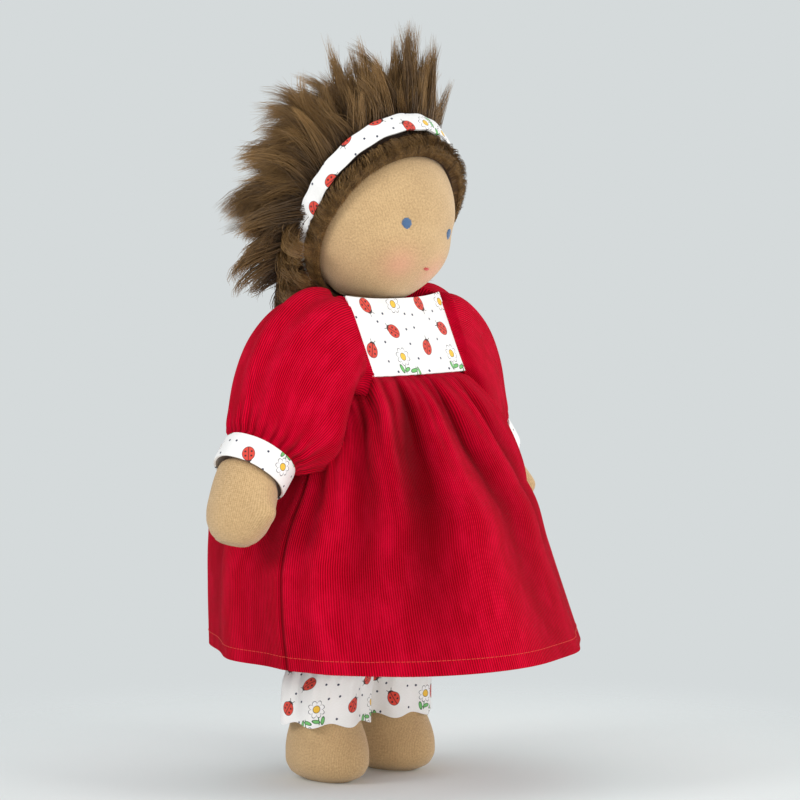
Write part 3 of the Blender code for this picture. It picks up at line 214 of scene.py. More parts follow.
def vertices(piece):
    """The piece's vertices about the doll's axis."""
    flat = np.empty(len(piece.data.vertices) * 3)
    piece.data.vertices.foreach_get("co", flat)
    return flat.reshape(-1, 3) - AXIS


def weigh(piece, weights):
    """Sets how far each vertex follows the second body of a blend."""
    layer = piece.data.attributes["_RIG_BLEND"]
    layer.data.foreach_set("value", np.asarray(weights, np.float32).ravel())


# Materials

class Nodes:
    """A material under construction, with short calls for its nodes."""

    def __init__(self, name, roughness, **sockets):
        self.material = bpy.data.materials.new(name)
        self.material.use_nodes = True
        self.tree = self.material.node_tree
        self.shader = self.tree.nodes["Principled BSDF"]
        self.shader.inputs["Roughness"].default_value = roughness
        for key, value in sockets.items():
            self.shader.inputs[key.replace("_", " ")].default_value = value

    def put(self, socket, value):
        """Links a node's output to a socket, or types a value there."""
        if isinstance(value, bpy.types.NodeSocket):
            self.tree.links.new(value, socket)
        elif isinstance(value, (tuple, list)) and len(value) == 3 and socket.type == "RGBA":
            socket.default_value = (*value, 1.0)
        else:
            socket.default_value = value

    def math(self, operation, *values):
        """A maths node's output."""
        node = self.tree.nodes.new("ShaderNodeMath")
        node.operation = operation
        for socket, value in zip(node.inputs, values):
            self.put(socket, value)
        return node.outputs[0]

    def times(self, *values):
        """A product."""
        return self.math("MULTIPLY", *values)

    def plus(self, *values):
        """A sum."""
        return self.math("ADD", *values)

    def minus(self, *values):
        """A difference."""
        return self.math("SUBTRACT", *values)

    def size(self, value):
        """A number without its sign."""
        return self.math("ABSOLUTE", value)

    def swing(self, operation, value):
        """A sine or cosine wave between 0 and 1."""
        return self.math("MULTIPLY_ADD", self.math(operation, value), 0.5, 0.5)

    def vector(self, operation, *values):
        """A vector maths node's output."""
        node = self.tree.nodes.new("ShaderNodeVectorMath")
        node.operation = operation
        for socket, value in zip(node.inputs, values):
            self.put(socket, value)
        return node.outputs[1 if operation in ("LENGTH", "DISTANCE") else 0]

    def noise(self, vector, scale, detail=2.0, roughness=0.5):
        """A noise value from 0 to 1."""
        node = self.tree.nodes.new("ShaderNodeTexNoise")
        self.put(node.inputs["Vector"], vector)
        for key, value in (("Scale", scale), ("Detail", detail), ("Roughness", roughness)):
            node.inputs[key].default_value = value
        return node.outputs[0]

    def mix(self, share, first, second):
        """A colour between two colours."""
        node = self.tree.nodes.new("ShaderNodeMix")
        node.data_type = "RGBA"
        self.put(node.inputs["Factor"], share)
        self.put(node.inputs[6], first)
        self.put(node.inputs[7], second)
        return node.outputs[2]

    def step(self, value, start, end):
        """0 below start and 1 above end, or the other way round."""
        node = self.tree.nodes.new("ShaderNodeMapRange")
        node.interpolation_type = "SMOOTHSTEP"
        for socket, number in zip(node.inputs, (value, start, end, 0.0, 1.0)):
            self.put(socket, number)
        return node.outputs[0]

    def split(self, vector):
        """The x, y and z outputs of a vector."""
        node = self.tree.nodes.new("ShaderNodeSeparateXYZ")
        self.put(node.inputs[0], vector)
        return node.outputs[0], node.outputs[1], node.outputs[2]

    def join(self, x, y, z=0.0):
        """A vector from its parts."""
        node = self.tree.nodes.new("ShaderNodeCombineXYZ")
        for socket, value in zip(node.inputs, (x, y, z)):
            self.put(socket, value)
        return node.outputs[0]

    def attribute(self, name):
        """A value that is stored on the mesh."""
        node = self.tree.nodes.new("ShaderNodeAttribute")
        node.attribute_name = name
        return node.outputs["Fac"]

    def cloth(self, scale=1000.0):
        """The cloth coordinates, in millimetres by default."""
        node = self.tree.nodes.new("ShaderNodeUVMap")
        node.uv_map = "Cloth"
        return self.vector("MULTIPLY", node.outputs[0], (scale, scale, scale))

    def place(self):
        """The place in the piece's own frame, in millimetres."""
        node = self.tree.nodes.new("ShaderNodeTexCoord")
        return self.vector("MULTIPLY", node.outputs["Object"], (1000.0, 1000.0, 1000.0))

    def relief(self, height, distance, strength=1.0, normal=None):
        """Bump from a height of 0 to 1 that stands for a distance in metres."""
        node = self.tree.nodes.new("ShaderNodeBump")
        node.inputs["Strength"].default_value = strength
        node.inputs["Distance"].default_value = distance
        self.put(node.inputs["Height"], height)
        if normal:
            self.put(node.inputs["Normal"], normal)
        return node.outputs[0]

    def finish(self, colour, normal=None, roughness=None):
        """Ends the material."""
        self.put(self.shader.inputs["Base Color"], colour)
        if normal:
            self.put(self.shader.inputs["Normal"], normal)
        if roughness:
            self.put(self.shader.inputs["Roughness"], roughness)
        return self.material


# Widths in millimetres on the cloth
KNIT_PITCH = 0.95
WALE_PITCH = 1.36
THREAD_PITCH = 0.42
PRINT_TILE = 31.0
PRINT_SCALE = 740.0
BEETLE_EDGE = (0.10, 0.012, 0.010)


def knit_material(name, base, dark, pitch=KNIT_PITCH, blush=False):
    """Fine knitted tricot: columns of small stitches, with a soft nap."""
    n = Nodes(name, 0.9, Sheen_Weight=0.25, Sheen_Roughness=0.5)
    n.shader.inputs["Sheen Tint"].default_value = (1.0, 0.93, 0.84, 1.0)
    place = n.cloth()
    wobble = n.noise(place, 0.35, 2.0)
    u, v, _ = n.split(place)
    shift = n.times(n.minus(wobble, 0.5), 0.5)
    phase = n.times(n.plus(u, shift), math.tau / pitch)
    rib = n.swing("COSINE", phase)
    lean = n.times(n.size(n.math("SINE", n.times(phase, 0.5))), 1.6)
    loop = n.math("MULTIPLY_ADD", v, math.tau / (pitch * 0.85), lean)
    stitch = n.swing("SINE", loop)
    height = n.plus(n.times(rib, 0.62), n.times(stitch, 0.38))
    fuzz = n.noise(place, 0.85, 3.0, 0.75)
    patch = n.noise(place, 0.045, 3.0, 0.6)
    shade = n.math("MULTIPLY_ADD", height, 0.22, n.times(fuzz, 0.70))
    shade = n.plus(shade, n.times(patch, 0.20))
    colour = n.mix(n.step(shade, 0.38, 0.72), dark, base)
    if blush:
        colour = n.mix(n.attribute("blush"), colour, (0.80, 0.33, 0.24))
    bumps = n.relief(n.plus(height, n.times(fuzz, 1.6)), 0.00022, 0.75)
    return n.finish(colour, bumps)


def corduroy_material():
    """Fine needlecord: napped wales that run down the cloth, with dark grooves between, and painted shade in
    the creases that the mesh marks.
    """
    n = Nodes("red_needlecord", 0.88, Sheen_Weight=0.05, Sheen_Roughness=0.40, Specular_IOR_Level=0.03)
    n.shader.inputs["Sheen Tint"].default_value = (1.0, 0.30, 0.36, 1.0)
    place = n.cloth()
    u, v, _ = n.split(place)
    wander = n.times(n.minus(n.noise(place, 0.05, 2.0), 0.5), 1.0)
    phase = n.times(n.plus(u, wander), math.tau / WALE_PITCH)
    wale = n.swing("COSINE", phase)
    wale = n.math("POWER", wale, 0.7)
    nap = n.noise(n.join(n.times(u, 2.6), n.times(v, 1.1)), 1.0, 3.0, 0.75)
    brushed = n.noise(n.join(n.times(u, 0.10), n.times(v, 0.045)), 1.0, 3.0, 0.6)
    fleck = n.step(n.noise(place, 2.4, 1.0), 0.66, 0.78)
    shade = n.plus(n.times(wale, 0.60), n.times(nap, 0.35))
    colour = n.mix(n.step(shade, 0.10, 0.95), (0.200, 0.0001, 0.0040), (0.700, 0.0008, 0.0250))
    colour = n.mix(n.times(n.step(brushed, 0.35, 0.75), 0.35), colour, (0.860, 0.0040, 0.0480))
    colour = n.mix(n.times(fleck, 0.22), colour, (0.85, 0.10, 0.14))
    # Painted shade: the cord darkens to a deep crimson in the fold valleys, gather hollows and seam creases
    # that the mesh marks.
    colour = n.mix(n.times(n.attribute("painted_crease_shade"), 0.88), colour, (0.120, 0.0, 0.0016))
    height = n.plus(wale, n.times(nap, 0.5))
    return n.finish(colour, n.relief(height, 0.00045, 0.85))


def turned(n, vector, degrees):
    """A flat vector turned about its zero."""
    node = n.tree.nodes.new("ShaderNodeVectorRotate")
    node.rotation_type = "Z_AXIS"
    n.put(node.inputs["Vector"], vector)
    node.inputs["Angle"].default_value = math.radians(degrees)
    return node.outputs[0]


def ellipse(n, vector, x, y, half_x, half_y):
    """Below 1 inside an ellipse, from its flat vector."""
    moved = n.vector("SUBTRACT", vector, (x, y, 0.0))
    return n.vector("LENGTH", n.vector("DIVIDE", moved, (half_x, half_y, 1.0)))


def print_material():
    """White cotton with a small repeat of round beetles, daisies and dots."""
    n = Nodes("print_cotton", 0.8, Sheen_Weight=0.12, Sheen_Roughness=0.5)
    place = n.cloth(PRINT_SCALE)
    u, v, _ = n.split(place)
    flat = n.join(u, v, 0.0)
    threads = n.times(n.math("SINE", n.times(u, math.tau / THREAD_PITCH)),
                     n.math("SINE", n.times(v, math.tau / THREAD_PITCH)))
    slub = n.noise(n.join(n.times(u, 0.9), n.times(v, 4.0)), 1.0, 2.0)
    patch = n.noise(flat, 0.06, 2.0)
    colour = n.mix(n.step(n.plus(n.times(slub, 0.5), n.times(patch, 0.6)),
                          0.3, 0.8), (0.80, 0.79, 0.76), (0.89, 0.88, 0.86))

    def around(x, y, degrees):
        """The flat vector from a motif's centre, repeated with the tile."""
        node = n.tree.nodes.new("ShaderNodeVectorMath")
        node.operation = "WRAP"
        moved = n.vector("SUBTRACT", flat, (x, y, 0.0))
        n.put(node.inputs[0], moved)
        n.put(node.inputs[1], (PRINT_TILE / 2, PRINT_TILE / 2, 1.0))
        n.put(node.inputs[2], (-PRINT_TILE / 2, -PRINT_TILE / 2, -1.0))
        return turned(n, node.outputs[0], degrees)

    def ink(colour, mask, paint_colour):
        """The colour so far with one more motif part printed over it."""
        return n.mix(mask, colour, paint_colour)

    for x, y, degrees in ((5.5, 6.5, 25.0), (20.0, 13.5, -60.0), (9.5, 24.0, 150.0)):
        at = around(x, y, degrees)
        px, py, _ = n.split(at)
        for side in (-1.0, 1.0):
            feeler = n.size(n.minus(px, n.times(n.minus(py, 2.6), 0.62 * side)))
            reach = n.times(n.step(py, 2.5, 2.8), n.step(py, 4.7, 4.4))
            colour = ink(colour, n.times(n.step(feeler, 0.20, 0.08), reach), (0.03, 0.02, 0.02))
        colour = ink(colour, n.step(ellipse(n, at, 0.0, 2.5, 1.35, 1.15), 1.06, 0.94), (0.03, 0.015, 0.015))
        body = ellipse(n, at, 0.0, 0.0, 2.55, 3.05)
        colour = ink(colour, n.step(body, 1.05, 0.97), BEETLE_EDGE)
        colour = ink(colour, n.step(body, 0.97, 0.90), (0.66, 0.050, 0.028))
        spine = n.times(n.step(n.size(px), 0.20, 0.10), n.step(body, 0.97, 0.93))
        colour = ink(colour, spine, BEETLE_EDGE)
        for dx, dy in ((1.15, 0.95), (-1.15, 0.95), (1.25, -0.95), (-1.25, -0.95)):
            colour = ink(colour, n.step(ellipse(n, at, dx, dy, 0.42, 0.42), 1.2, 0.8), (0.05, 0.012, 0.012))

    for x, y, degrees in ((20.5, 3.5, 20.0), (24.5, 24.0, 200.0)):
        at = around(x, y, degrees)
        px, py, _ = n.split(at)
        stem = n.size(n.minus(px, n.times(n.math("POWER", n.size(py), 1.6), 0.06)))
        reach = n.times(n.step(py, -2.6, -3.2), n.step(py, -6.6, -6.2))
        colour = ink(colour, n.times(n.step(stem, 0.30, 0.16), reach), (0.05, 0.22, 0.05))
        for dx, dy, lean in ((1.9, -4.6, 55.0), (-0.9, -5.2, -35.0)):
            leaf = turned(n, n.vector("SUBTRACT", at, (dx, dy, 0.0)), lean)
            inside = ellipse(n, leaf, 0.0, 0.0, 0.75, 1.75)
            colour = ink(colour, n.step(inside, 1.16, 1.0), (0.03, 0.10, 0.03))
            colour = ink(colour, n.step(inside, 0.84, 0.72), (0.16, 0.50, 0.14))
        radius = n.vector("LENGTH", at)
        around_it = n.math("ARCTAN2", py, px)
        petal = n.size(n.math("COSINE", n.times(around_it, 4.0)))
        edge = n.math("MULTIPLY_ADD", n.math("POWER", petal, 0.5), 1.75, 1.85)
        gap = n.minus(radius, edge)
        colour = ink(colour, n.step(gap, 0.14, 0.02), (0.06, 0.06, 0.07))
        colour = ink(colour, n.step(gap, -0.14, -0.26), (0.90, 0.89, 0.88))
        colour = ink(colour, n.step(radius, 1.62, 1.50), (0.10, 0.08, 0.03))
        colour = ink(colour, n.step(radius, 1.38, 1.26), (0.86, 0.52, 0.045))

    dots = ((1.5, 14.5), (12.0, 2.0), (13.5, 9.5), (3.0, 19.5), (13.0, 17.5), (17.0, 20.5),
            (27.5, 14.0), (29.0, 2.5), (2.0, 28.5), (15.5, 28.8), (29.5, 20.0), (27.0, 8.3))
    for x, y in dots:
        radius = n.vector("LENGTH", around(x, y, 0.0))
        colour = ink(colour, n.step(radius, 0.58, 0.40), (0.035, 0.04, 0.075))
    return n.finish(colour, n.relief(n.plus(threads, slub), 0.00008, 0.5))


def thread_material(name, base, pitch=0.32):
    """Stranded embroidery thread with its satin gloss."""
    n = Nodes(name, 0.42, Sheen_Weight=0.3)
    place = n.cloth()
    u, _, _ = n.split(place)
    strands = n.swing("SINE", n.times(u, math.tau / pitch))
    worn = n.noise(place, 1.5, 2.0)
    dark = tuple(channel * 0.45 for channel in base)
    colour = n.mix(n.math("MULTIPLY_ADD", strands, 0.6, n.times(worn, 0.4)), dark, base)
    return n.finish(colour, n.relief(strands, 0.00012, 0.9))


def plain_material(name, base, roughness, grain=1.5, depth=0.00005, **sockets):
    """A finish with a fine grain and slow colour change, for what hardly shows."""
    n = Nodes(name, roughness, **sockets)
    place = n.place()
    fine = n.noise(place, grain, 3.0, 0.6)
    slow = n.noise(place, 0.05, 2.0)
    dark = tuple(channel * 0.78 for channel in base)
    colour = n.mix(n.math("MULTIPLY_ADD", fine, 0.5, n.times(slow, 0.5)), dark, base)
    return n.finish(colour, n.relief(fine, depth, 0.8))


def hair_material():
    """Mohair: each strand has its own brown, darker at the root and lighter at the tip."""
    n = Nodes("hair_mohair", 0.42, Specular_IOR_Level=0.35)
    tone = n.attribute("tone")
    root = n.mix(tone, (0.022, 0.0095, 0.0022), (0.085, 0.042, 0.0120))
    tip = n.mix(tone, (0.115, 0.058, 0.0170), (0.420, 0.240, 0.0850))
    along = n.math("POWER", n.attribute("along"), 1.25)
    return n.finish(n.mix(along, root, tip))


SKIN = knit_material("skin_knit", (0.600, 0.400, 0.200), (0.400, 0.250, 0.108))
FACE = knit_material("face_knit", (0.640, 0.434, 0.220), (0.410, 0.260, 0.118), 0.85, blush=True)
CORD = corduroy_material()
PRINT = print_material()
HAIR = hair_material()
SCALP = plain_material("cap_knit", (0.045, 0.020, 0.009), 0.95, 0.9, 0.0004)
BLUE = thread_material("eye_thread", (0.085, 0.200, 0.400))
RED = thread_material("mouth_thread", (0.860, 0.060, 0.040))
TIE = thread_material("tie_thread", (0.70, 0.55, 0.40))
STUD = plain_material("stud_plastic", (0.78, 0.78, 0.75), 0.35, 0.6, 0.00002, Specular_IOR_Level=0.5)
ELASTIC = plain_material("elastic_braid", (0.80, 0.80, 0.77), 0.75, 2.5, 0.0001)
STITCH = plain_material("hem_thread", (0.78, 0.060, 0.030), 0.6, 2.0)


# Head

NECK_PIVOT = np.array([-0.0060, 0.0030, 0.2500])
HEAD_ABOVE_PIVOT = 0.0570
HEAD_HALF = np.array([0.0410, 0.0420, 0.0470])
HEAD_ROLL = Matrix.Rotation(math.radians(11.5), 3, "Y")
HEAD_PITCH = Matrix.Rotation(math.radians(3.0), 3, "X")
HEAD_TURN = np.array(HEAD_ROLL @ HEAD_PITCH)
HAIR_POLE_TILT = math.radians(30.0)
HAIR_POLE = np.array([0.0, math.cos(HAIR_POLE_TILT), math.sin(HAIR_POLE_TILT)])


def on_neck(points):
    """Points of the upright neck's frame, placed in the doll's leaning head."""
    return NECK_PIVOT + np.asarray(points) @ HEAD_TURN.T


def in_head(points):
    """Points measured from the head's centre, placed in the doll."""
    return on_neck(np.asarray(points) + np.array([0.0, 0.0, HEAD_ABOVE_PIVOT]))


def direction(longitude, latitude):
    """Directions in the head: longitude 0 looks out of the face, plus to the doll's left."""
    flat = np.cos(latitude)
    return stack(flat * np.sin(longitude), -flat * np.cos(longitude), np.sin(latitude))


def head_radius(way):
    """Distance from the head's centre to its skin along directions."""
    radius = 1.0 / np.linalg.norm(way / HEAD_HALF, axis=-1)
    longitude = np.arctan2(way[..., 0], -way[..., 1])
    latitude = np.arcsin(np.clip(way[..., 2], -1, 1))
    face = bump(longitude, math.radians(62.0))
    line = bump(latitude - math.radians(-3.0), math.radians(9.0))
    radius = radius - 0.0012 * line * (0.45 + 0.55 * face)
    for side in (-1.0, 1.0):
        across = bump(longitude - side * math.radians(31.0), math.radians(24.0))
        down = bump(latitude - math.radians(-27.0), math.radians(17.0))
        radius = radius + 0.0014 * across * down
    return radius


def polar_way(polar, azimuth):
    """Directions at a polar angle from the hair's pole; azimuth 90 degrees is the forehead."""
    side = np.array([1.0, 0.0, 0.0])
    up = np.cross(side, HAIR_POLE)
    polar, azimuth = np.broadcast_arrays(polar, azimuth)
    flat = side * np.cos(azimuth)[..., None] + up * np.sin(azimuth)[..., None]
    return HAIR_POLE * np.cos(polar)[..., None] + flat * np.sin(polar)[..., None]


def make_head():
    """The knitted head with its eye line and cheeks, pulled in under the chin."""
    polar = np.radians(np.concatenate([[1.0, 4.0], np.linspace(8.0, 163.0, 100)]))[:, None]
    longitude = np.linspace(-math.pi, math.pi, 145)[None, :]
    way = direction(longitude + 0 * polar, math.pi / 2 - polar)
    points = in_head(way * head_radius(way)[..., None])
    uv = stack(longitude * 0.041, -polar * 0.044, 0.0)[..., :2]
    head = tube("head_knit", points, FACE, uv, cap_start=True, cap_end=True)
    blush = 0.0
    for side in (-1.0, 1.0):
        cheek = direction(math.radians(side * 21.0), math.radians(-35.0))
        blush = blush + 0.42 * bump(np.arccos(np.clip(way @ cheek, -1, 1)), math.radians(12.0))
    paint(head, "blush", blush[:, :-1])
    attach(head, "head")
    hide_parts("head_skin", "head_wool_core")


def satin(name, longitude, latitude, half_length, half_height, threads, lean, finish, cad):
    """A patch of satin stitch: round threads laid side by side over the knit."""
    way = direction(math.radians(longitude), math.radians(latitude))
    side = np.cross([0.0, 0.0, 1.0], way)
    side /= np.linalg.norm(side)
    up = np.cross(way, side)
    turn = math.radians(lean)
    along = side * math.cos(turn) + up * math.sin(turn)
    across = up * math.cos(turn) - side * math.sin(turn)
    points, uv, faces = [], [], []
    radius = half_height / threads * 1.25
    around = np.linspace(0, math.tau, 9)[:-1]
    for thread in range(threads):
        place = (thread + 0.5) / threads * 2 - 1
        reach = half_length * math.sqrt(max(0.05, 1 - place * place * 0.97))
        reach *= 1 + 0.05 * math.sin(thread * 2.3)
        shares = np.linspace(-1, 1, 9)
        lift = 0.00065 * (1 - shares ** 4) - 0.00035 + 0.00025 * (1 - place * place)
        flat = shares[:, None] * reach * along + place * half_height * across
        height = np.sqrt(head_radius(way) ** 2 - (flat ** 2).sum(1)) + lift
        centre = flat + way * height[:, None]
        start = len(points)
        for row, spot in enumerate(centre):
            size = radius * (1 - 0.45 * abs(shares[row]) ** 3)
            ring = spot + size * (np.cos(around)[:, None] * across + np.sin(around)[:, None] * way * 0.8)
            points += list(in_head(ring))
            uv += [(0.0002 * step, 0.001 * row) for step in range(8)]
        for row in range(8):
            for step in range(8):
                a = start + row * 8 + step
                b = start + row * 8 + (step + 1) % 8
                faces.append((a, b, b + 8, a + 8))
        faces.append(tuple(range(start + 7, start - 1, -1)))
        faces.append(tuple(range(start + 64, start + 72)))
    mesh = bpy.data.meshes.new(name)
    mesh.from_pydata([tuple(point + AXIS) for point in points], [], faces)
    made = new_object(name, mesh, finish)
    layer = mesh.uv_layers.new(name="Cloth")
    corners = [uv[loop.vertex_index] for loop in mesh.loops]
    layer.data.foreach_set("uv", np.array(corners, np.float32).ravel())
    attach(made, "head")
    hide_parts(cad)


def make_neck():
    """The rolled neck under the head."""
    angle = round_angles(49)
    rows = np.radians(np.linspace(10.0, 127.0, 22))
    radius = np.concatenate([0.0125 * np.sin(rows), [0.0100, 0.0100, 0.0098]])[:, None]
    height = np.concatenate([-0.0125 * np.cos(rows), [0.0105, 0.0140, 0.0160]])[:, None]
    points = on_neck(stack(radius * np.cos(angle), radius * np.sin(angle), height))
    uv = stack(angle * 0.011, height, 0.0)[..., :2]
    neck = tube("neck_knit", points, SKIN, uv, cap_start=True, cap_end=True)
    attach(neck, "neck")
    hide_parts("neck")


# Body and limbs

TORSO_ROWS = (
    (0.000, 0.93, 0.03), (0.060, 0.95, 0.16), (0.140, 0.97, 0.42), (0.220, 0.98, 0.72),
    (0.300, 1.00, 0.95), (0.400, 1.00, 1.00), (0.560, 0.96, 0.93), (0.700, 0.905, 0.87),
    (0.850, 0.900, 0.80), (0.910, 0.850, 0.72), (0.950, 0.70, 0.62), (0.980, 0.52, 0.54),
    (1.000, 0.37, 0.47),
)


TORSO_BOTTOM, TORSO_TOP = 0.1515, 0.2560
TORSO_HALF_WIDTH, TORSO_HALF_DEPTH = 0.042, 0.030
NECK_HOLE_RADIUS = 0.0136


def torso_size(height):
    """Half width and half depth of the torso at a height."""
    wide, deep = curve(TORSO_ROWS, (np.asarray(height) - TORSO_BOTTOM) / (TORSO_TOP - TORSO_BOTTOM))
    return TORSO_HALF_WIDTH * wide, TORSO_HALF_DEPTH * deep


def make_torso():
    """The stuffed body under the dress."""
    share = np.concatenate([np.linspace(0, 0.9, 34), np.linspace(0.91, 1.0, 10)])[:, None]
    height = TORSO_BOTTOM + (TORSO_TOP - TORSO_BOTTOM) * share
    width, depth = torso_size(height)
    angle = round_angles(73)
    x, y = oval(angle, width, depth)
    lean = smooth(0.9, 1.0, share)
    neck_x, neck_y, _ = NECK_PIVOT
    points = stack(x + neck_x * lean, y + neck_y * lean, height)
    rim = stack(neck_x + NECK_HOLE_RADIUS * np.cos(angle), neck_y + NECK_HOLE_RADIUS * np.sin(angle),
                TORSO_TOP - 0.0002)
    points = np.concatenate([points, rim])
    torso = tube("torso_knit", points, SKIN, cap_start=True, cap_end=True)
    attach(torso, "torso")
    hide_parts("torso_skin", "torso_stuffing")


ARM_ROWS = (
    (0.00, 0.90, 0.90), (0.10, 0.93, 1.00), (0.25, 0.94, 1.06), (0.45, 0.90, 1.04),
    (0.65, 0.88, 0.98), (0.85, 0.86, 0.90), (1.00, 0.86, 0.88),
)
HAND_ROWS = (
    (0.00, 1.04, 0.86), (0.14, 1.05, 0.90), (0.30, 1.04, 0.98), (0.48, 1.02, 1.00), (0.66, 0.97, 0.98),
    (0.82, 0.83, 0.84), (0.94, 0.55, 0.57), (0.985, 0.32, 0.34), (1.00, 0.04, 0.05),
)
SHOULDER = np.array([-0.0384, 0.0, 0.2410])
ARM_LENGTH = 0.0842
HAND_LENGTH = 0.0445
ARM_RADIUS = 0.0146
HAND_HALF_WIDTH, HAND_HALF_DEPTH = 0.0155, 0.0195
THUMB = 0.0072
ARM_DEGREES, HAND_DEGREES = 39.5, 20.0
CUFF_HEIGHT, CUFF_RADIUS = 0.0147, 0.0208
BACKWARDS = np.array([0.0, 1.0, 0.0])


def arm_frame(distance):
    """Centre, sideways direction and run direction of the right arm at distances along it."""
    distance = np.asarray(distance, float)
    arm, hand = math.radians(ARM_DEGREES), math.radians(HAND_DEGREES)
    straight = ARM_LENGTH + CUFF_HEIGHT * 0.5
    beyond = np.maximum(0.0, distance - straight)
    along_arm = np.array([-math.sin(arm), 0.0, -math.cos(arm)])
    along_hand = np.array([-math.sin(hand), 0.0, -math.cos(hand)])
    centre = SHOULDER + np.minimum(distance, straight)[..., None] * along_arm
    centre = centre + beyond[..., None] * along_hand
    shoulder_share = np.maximum(0.0, 1 - distance / (ARM_LENGTH * 0.35))
    hand_share = np.minimum(1.0, beyond / (HAND_LENGTH * 0.4))
    tilt = arm + (math.pi / 2 - arm) * shoulder_share + (hand - arm) * hand_share
    zero = 0 * tilt
    return centre, stack(-np.cos(tilt), zero, np.sin(tilt)), stack(-np.sin(tilt), zero, -np.cos(tilt))


def mirrored(points, side):
    """The right side's points, or their mirror image."""
    return points if side < 0 else points * np.array([-1.0, 1.0, 1.0])


def make_arm(side, label):
    """A stuffed arm with a mitten hand and a small thumb in front."""
    distance = np.concatenate([np.linspace(0, ARM_LENGTH, 30)[:-1],
                               ARM_LENGTH + HAND_LENGTH * np.linspace(0, 1, 44) ** 0.85])
    share = np.clip((distance - ARM_LENGTH) / HAND_LENGTH, 0, 1)
    on_hand = smooth(0.0, 0.20, share)
    wide, deep = curve(ARM_ROWS, np.minimum(1, distance / ARM_LENGTH))
    hand_wide, hand_deep = curve(HAND_ROWS, share)
    half_width = ARM_RADIUS * wide * (1 - on_hand) + HAND_HALF_WIDTH * hand_wide * on_hand
    half_depth = ARM_RADIUS * deep * (1 - on_hand) + HAND_HALF_DEPTH * hand_deep * on_hand
    centre, out, _ = arm_frame(distance)
    angle = round_angles(61)
    thumb = THUMB * bump(share - 0.58, 0.19)[:, None] * bump(angle - math.radians(80.0), 0.42)
    across = out[:, None] * ((half_width[:, None] + thumb) * np.cos(angle))[..., None]
    deep = (half_depth[:, None] + thumb) * np.sin(angle)
    points = mirrored(centre[:, None] + across - deep[..., None] * BACKWARDS, side)
    uv = stack(angle * HAND_HALF_WIDTH, -distance[:, None], 0.0)[..., :2]
    arm = tube("arm_knit_" + label, points, SKIN, uv, cap_start=True, cap_end=True)
    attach(arm, "arm_" + label)
    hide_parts("arm_skin_" + label, "arm_stuffing_" + label)


LEG_ROWS = (
    (0.000, 0.87, 0.043), (0.009, 0.88, 0.052), (0.060, 0.94, 0.20), (0.130, 0.98, 0.52),
    (0.205, 1.00, 0.88), (0.340, 1.02, 1.02), (0.520, 0.98, 0.98), (0.700, 0.92, 0.92),
    (0.860, 0.88, 0.86), (1.000, 0.86, 0.84),
)
FOOT_ROWS = (
    (1.00, 0.80, 0.62, 0.10), (0.86, 0.88, 0.73, 0.25), (0.70, 0.94, 0.81, 0.55), (0.52, 0.99, 0.94, 0.82),
    (0.34, 1.00, 1.00, 0.98), (0.17, 0.95, 0.96, 1.00), (0.06, 0.75, 0.80, 1.00), (0.00, 0.48, 0.56, 1.00),
)


HIP_HEIGHT, ANKLE_HEIGHT = 0.150, 0.044
LEG_HALF_WIDTH, LEG_HALF_DEPTH = 0.0172, 0.0186
FOOT_HALF_WIDTH, FOOT_HALF_LENGTH = 0.0186, 0.0265
FOOT_DEGREES = 5.0


def leg_middle(height):
    """x and y of the right leg's middle at a height: it runs out and back towards the foot."""
    share = np.clip((HIP_HEIGHT - np.asarray(height)) / 0.106, 0, 1)
    return -0.0215 - 0.0043 * share, 0.0115 * share


def make_leg(side, label):
    """A stuffed leg and bare foot, sewn flat at the hip."""
    angle = round_angles(61)
    share = np.concatenate([[0.0, 0.009, 0.03], np.linspace(0.06, 1.0, 40)])
    top = HIP_HEIGHT + 0.0009
    height = top + (ANKLE_HEIGHT - top) * share
    wide, deep = curve(LEG_ROWS, share)
    x, y = oval(angle, (LEG_HALF_WIDTH * wide)[:, None], (LEG_HALF_DEPTH * deep)[:, None])
    middle_x, middle_y = leg_middle(height[:, None])
    upper = stack(x + middle_x, y + middle_y, height[:, None])
    foot_share = np.concatenate([np.linspace(0.86, 0.06, 26), [0.035, 0.015, 0.004, 0.0]])
    wide, long, forward = curve(FOOT_ROWS, foot_share)
    height = ANKLE_HEIGHT * foot_share
    x, y = oval(angle, (FOOT_HALF_WIDTH * wide)[:, None], (FOOT_HALF_LENGTH * long)[:, None], 2.1)
    y = y - (0.0020 * forward)[:, None]
    turn = -math.radians(FOOT_DEGREES)
    x, y = x * math.cos(turn) - y * math.sin(turn), x * math.sin(turn) + y * math.cos(turn)
    middle_x, middle_y = leg_middle(height[:, None])
    lower = stack(x + middle_x, y + middle_y, height[:, None])
    heel = lower[-1:].mean(1, keepdims=True)
    sole = heel + (lower[-1:] - heel) * np.linspace(0.85, 0.05, 9)[:, None, None]
    points = mirrored(np.concatenate([upper, lower, sole]), side)
    leg = tube("leg_knit_" + label, points, SKIN, cap_start=True, cap_end=True)
    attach(leg, "leg_" + label)
    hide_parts("leg_skin_" + label, "leg_stuffing_" + label)


# Dress

YOKE_BOTTOM, YOKE_TOP = 0.2225, 0.2565
RAGLAN_SLOPE = 0.36
ARMHOLE_DROP = 0.015
SLEEVE_RADIUS = 0.029


def raglan_x(height):
    """How far out the raglan seam lies at a height."""
    return 0.0250 + (YOKE_TOP - np.asarray(height)) * RAGLAN_SLOPE


def bodice(angle, height, lift):
    """Points of the bodice at angles from the front, plus to the doll's left."""
    width, depth = torso_size(height - 0.002)
    width = np.maximum(width, 0.0135) + 0.0026 + lift
    depth = np.maximum(depth, 0.0135) + 0.0026 + lift
    rise = (height - YOKE_BOTTOM) / (YOKE_TOP - YOKE_BOTTOM)
    x, y = oval(angle - math.pi / 2, width, depth)
    return stack(x, y + 0.003 * np.maximum(0.0, rise - 0.75) * 4, height + 0 * x)


